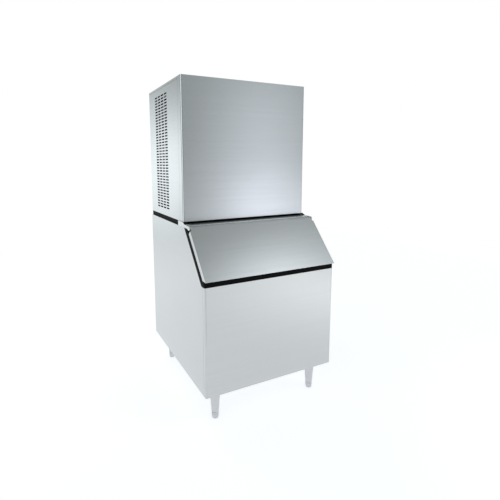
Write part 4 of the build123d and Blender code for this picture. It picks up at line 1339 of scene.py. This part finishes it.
@dataclass(frozen=True)
class Screws:
    """The small screws that hold the panels and the plant's brackets.

    Attributes:
        inset: How far a screw stands in from a panel's edge.
        shroud_sheet: The thickness of the shroud's sheet, where its screws sit.
    """

    inset: float = 0.012
    shroud_sheet: float = 0.0015

    def build(self, bench: Bench) -> None:
        """Drive the screws of the back, the partition, the shroud and the control box."""
        shape = Shape()
        for name in ("head_back", "bin_back"):
            self._round(shape, name, BACK, 5, 5)
        self._round(shape, "partition", FRONT, 4, 5)
        self._round(shape, "fan_shroud", RIGHT, 3, 4)
        self._round(shape, "control_box", FRONT, 2, 3)
        bench.beside("hinge_pins", "panel_screws", shape, "bright_pin")

    def _round(self, shape: Shape, node: str, towards: Place, wide: int, tall: int) -> None:
        """Put screws round the edge of a flat node.

        Args:
            shape: The piece that they join.
            node: The node that they hold.
            towards: The way that their heads face.
            wide: How many along the top and the foot.
            tall: How many up each side.
        """
        low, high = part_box(node)
        depth = 0 if towards[0] else 1
        across = 1 - depth
        face = high[depth] if towards[depth] > 0 else low[depth]
        if node == "fan_shroud":
            face = low[depth] + self.shroud_sheet
        for column in range(wide):
            for row in range(tall):
                if 0 < column < wide - 1 and 0 < row < tall - 1:
                    continue
                place = [0.0, 0.0, 0.0]
                place[depth] = face
                place[across] = self._share(low[across], high[across], column, wide)
                place[2] = self._share(low[2], high[2], row, tall)
                shape.screw(tuple(place), towards)

    def _share(self, low: float, high: float, count: int, total: int) -> float:
        """One of a row of places between two edges."""
        return low + self.inset + (high - low - 2.0 * self.inset) * count / (total - 1)


# Studio


@dataclass(frozen=True)
class Glow:
    """A soft patch of light in the studio's walls and ceiling.

    Attributes:
        heading: Degrees from straight in front of the machine towards its right.
        height: Degrees above the horizon.
        tightness: How small the patch is; nought is an even light all round.
        colour: Its radiance.
    """

    heading: float
    height: float
    tightness: float
    colour: Colour

    def direction(self) -> Place:
        """The unit vector towards the patch."""
        turn, rise = math.radians(self.heading), math.radians(self.height)
        level = math.cos(rise)
        return (level * math.sin(turn), -level * math.cos(turn), math.sin(rise))

    def radiance(self, graph: Graph, towards: Signal) -> Signal:
        """Its light as a vector of three colours, by the way that a ray looks."""
        nearness = graph.vectors("DOT_PRODUCT", towards, self.direction())
        fall = graph.maths("POWER", math.e, (nearness - 1.0) * self.tightness)
        return graph.vectors("SCALE", self.colour, fall)


@dataclass(frozen=True)
class Pool:
    """A square soft box that hangs over the floor and looks straight down.

    Attributes:
        name: The light's name.
        place: Where on the floor it looks.
        size: Its side.
        power: Its power in watts.
        spread: The angle of the cone that its light is kept in, in degrees.
    """

    name: str
    place: tuple[float, float]
    size: float
    power: float
    spread: float


@dataclass(frozen=True)
class Studio:
    """A pale floor, soft light and the camera.

    Attributes:
        glows: The patches of light all round; the first is even.
        pools: The soft boxes overhead.
        pool_height: How high they hang.
        floor_reach: Half the floor's side.
        floor_tone: The floor's grey.
        floor_glow: The strength of the floor's own light.
        camera_place: Where the camera stands.
        camera_yaw: How far it looks to the right of straight back, in degrees.
        camera_pitch: How far it looks down, in degrees.
        camera_roll: How far it is tilted, in degrees.
        camera_lens: Its focal length in millimetres.
        camera_shift: Its shift, as shares of the picture's side.
    """

    glows: tuple[Glow, ...] = (
        Glow(0.0, 90.0, 0.0, (0.372, 0.404, 0.394)),
        Glow(32.0, -7.0, 200.0, (2.15, 2.20, 2.45)),
        Glow(31.5, 5.5, 190.0, (0.90, 0.93, 1.02)),
        Glow(31.5, 18.0, 150.0, (0.42, 0.45, 0.50)),
        Glow(-162.0, -13.0, 80.0, (0.43, 0.45, 0.47)),
        Glow(-162.0, 0.0, 75.0, (1.34, 1.39, 1.43)),
        Glow(47.5, 44.5, 120.0, (2.95, 3.04, 3.22)),
        Glow(-70.0, 4.0, 14.0, (1.70, 1.78, 1.88)),
        Glow(122.0, 4.0, 16.0, (1.00, 1.05, 1.12)),
    )
    pools: tuple[Pool, ...] = (
        Pool("box_front", (1.60, -2.00), 0.5, 5.0, 50.0),
        Pool("box_back_left", (-1.35, 1.8), 1.4, 6.0, 110.0),
    )
    pool_height: float = 3.2
    floor_reach: float = 4.2
    floor_tone: float = 0.66
    floor_glow: float = 0.69
    camera_place: Place = (-1.0445, -2.0029, 1.2967)
    camera_yaw: float = 26.41
    camera_pitch: float = 7.71
    camera_roll: float = -0.33
    camera_lens: float = 27.39
    camera_shift: tuple[float, float] = (0.0462, -0.0698)

    def build(self) -> None:
        """Set up the whole studio."""
        bpy.context.scene.view_settings.view_transform = "Standard"
        self._floor()
        self._world()
        self._lights()
        self._camera()

    def _floor(self) -> None:
        """A plain pale floor."""
        mesh = bmesh.new()
        bmesh.ops.create_grid(mesh, x_segments=1, y_segments=1, size=self.floor_reach)
        floor = placed(mesh, "studio_floor")
        tone = (self.floor_tone,) * 3
        finish = LitFloor("studio_floor", tone, 0.9, glow=self.floor_glow)
        floor.data.materials.append(finish.material())

    def _world(self) -> None:
        """Soft light all round, brighter towards each glow, in front of a white backdrop."""
        world = bpy.data.worlds.new("studio_world")
        bpy.context.scene.world = world
        world.use_nodes = True
        graph = Graph(world.node_tree)
        towards = graph.node("ShaderNodeTexCoord", output="Generated")
        light = self.glows[0].radiance(graph, towards)
        for glow in self.glows[1:]:
            light = graph.vectors("ADD", light, glow.radiance(graph, towards))
        seen = graph.node("ShaderNodeLightPath", output="Is Camera Ray")
        shown = graph.mix(seen, light, WHITE)
        backdrop = graph.node("ShaderNodeBackground", inputs={"Color": shown})
        graph.node("ShaderNodeOutputWorld", inputs={"Surface": backdrop})

    def _lights(self) -> None:
        """Soft boxes overhead that light the floor in front and behind."""
        for pool in self.pools:
            data = bpy.data.lights.new(pool.name, "AREA")
            data.size = pool.size
            data.energy = pool.power
            data.spread = math.radians(pool.spread)
            lamp = bpy.data.objects.new(pool.name, data)
            bpy.context.scene.collection.objects.link(lamp)
            lamp.location = (*pool.place, self.pool_height)

    def _camera(self) -> None:
        """Put the camera at the viewing angle."""
        data = bpy.data.cameras.new("camera")
        data.sensor_width = 36.0
        data.lens = self.camera_lens
        data.shift_x, data.shift_y = self.camera_shift
        data.clip_start = 0.05
        data.clip_end = 60.0
        camera = bpy.data.objects.new("camera", data)
        bpy.context.scene.collection.objects.link(camera)
        turn = (
            Matrix.Rotation(math.radians(-self.camera_yaw), 4, "Z")
            @ Matrix.Rotation(math.radians(90.0 - self.camera_pitch), 4, "X")
            @ Matrix.Rotation(math.radians(self.camera_roll), 4, "Z")
        )
        camera.matrix_world = Matrix.Translation(self.camera_place) @ turn
        bpy.context.scene.camera = camera


def main() -> None:
    """Load the frame, build every class in order and note the sizes."""
    logging.basicConfig(level=logging.INFO, format="%(name)s: %(message)s")
    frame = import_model()
    palette = Palette()
    LOG.info("made %d finishes", len(palette.materials))
    bench = Bench(frame, palette)
    Forming().build(bench)
    for assembly in (SpacerCaps(), Stand(), CondenserCore(), FanSet(), CompressorSet(), Screws()):
        assembly.build(bench)
    Studio().build()


if __name__ == "__main__":
    main()
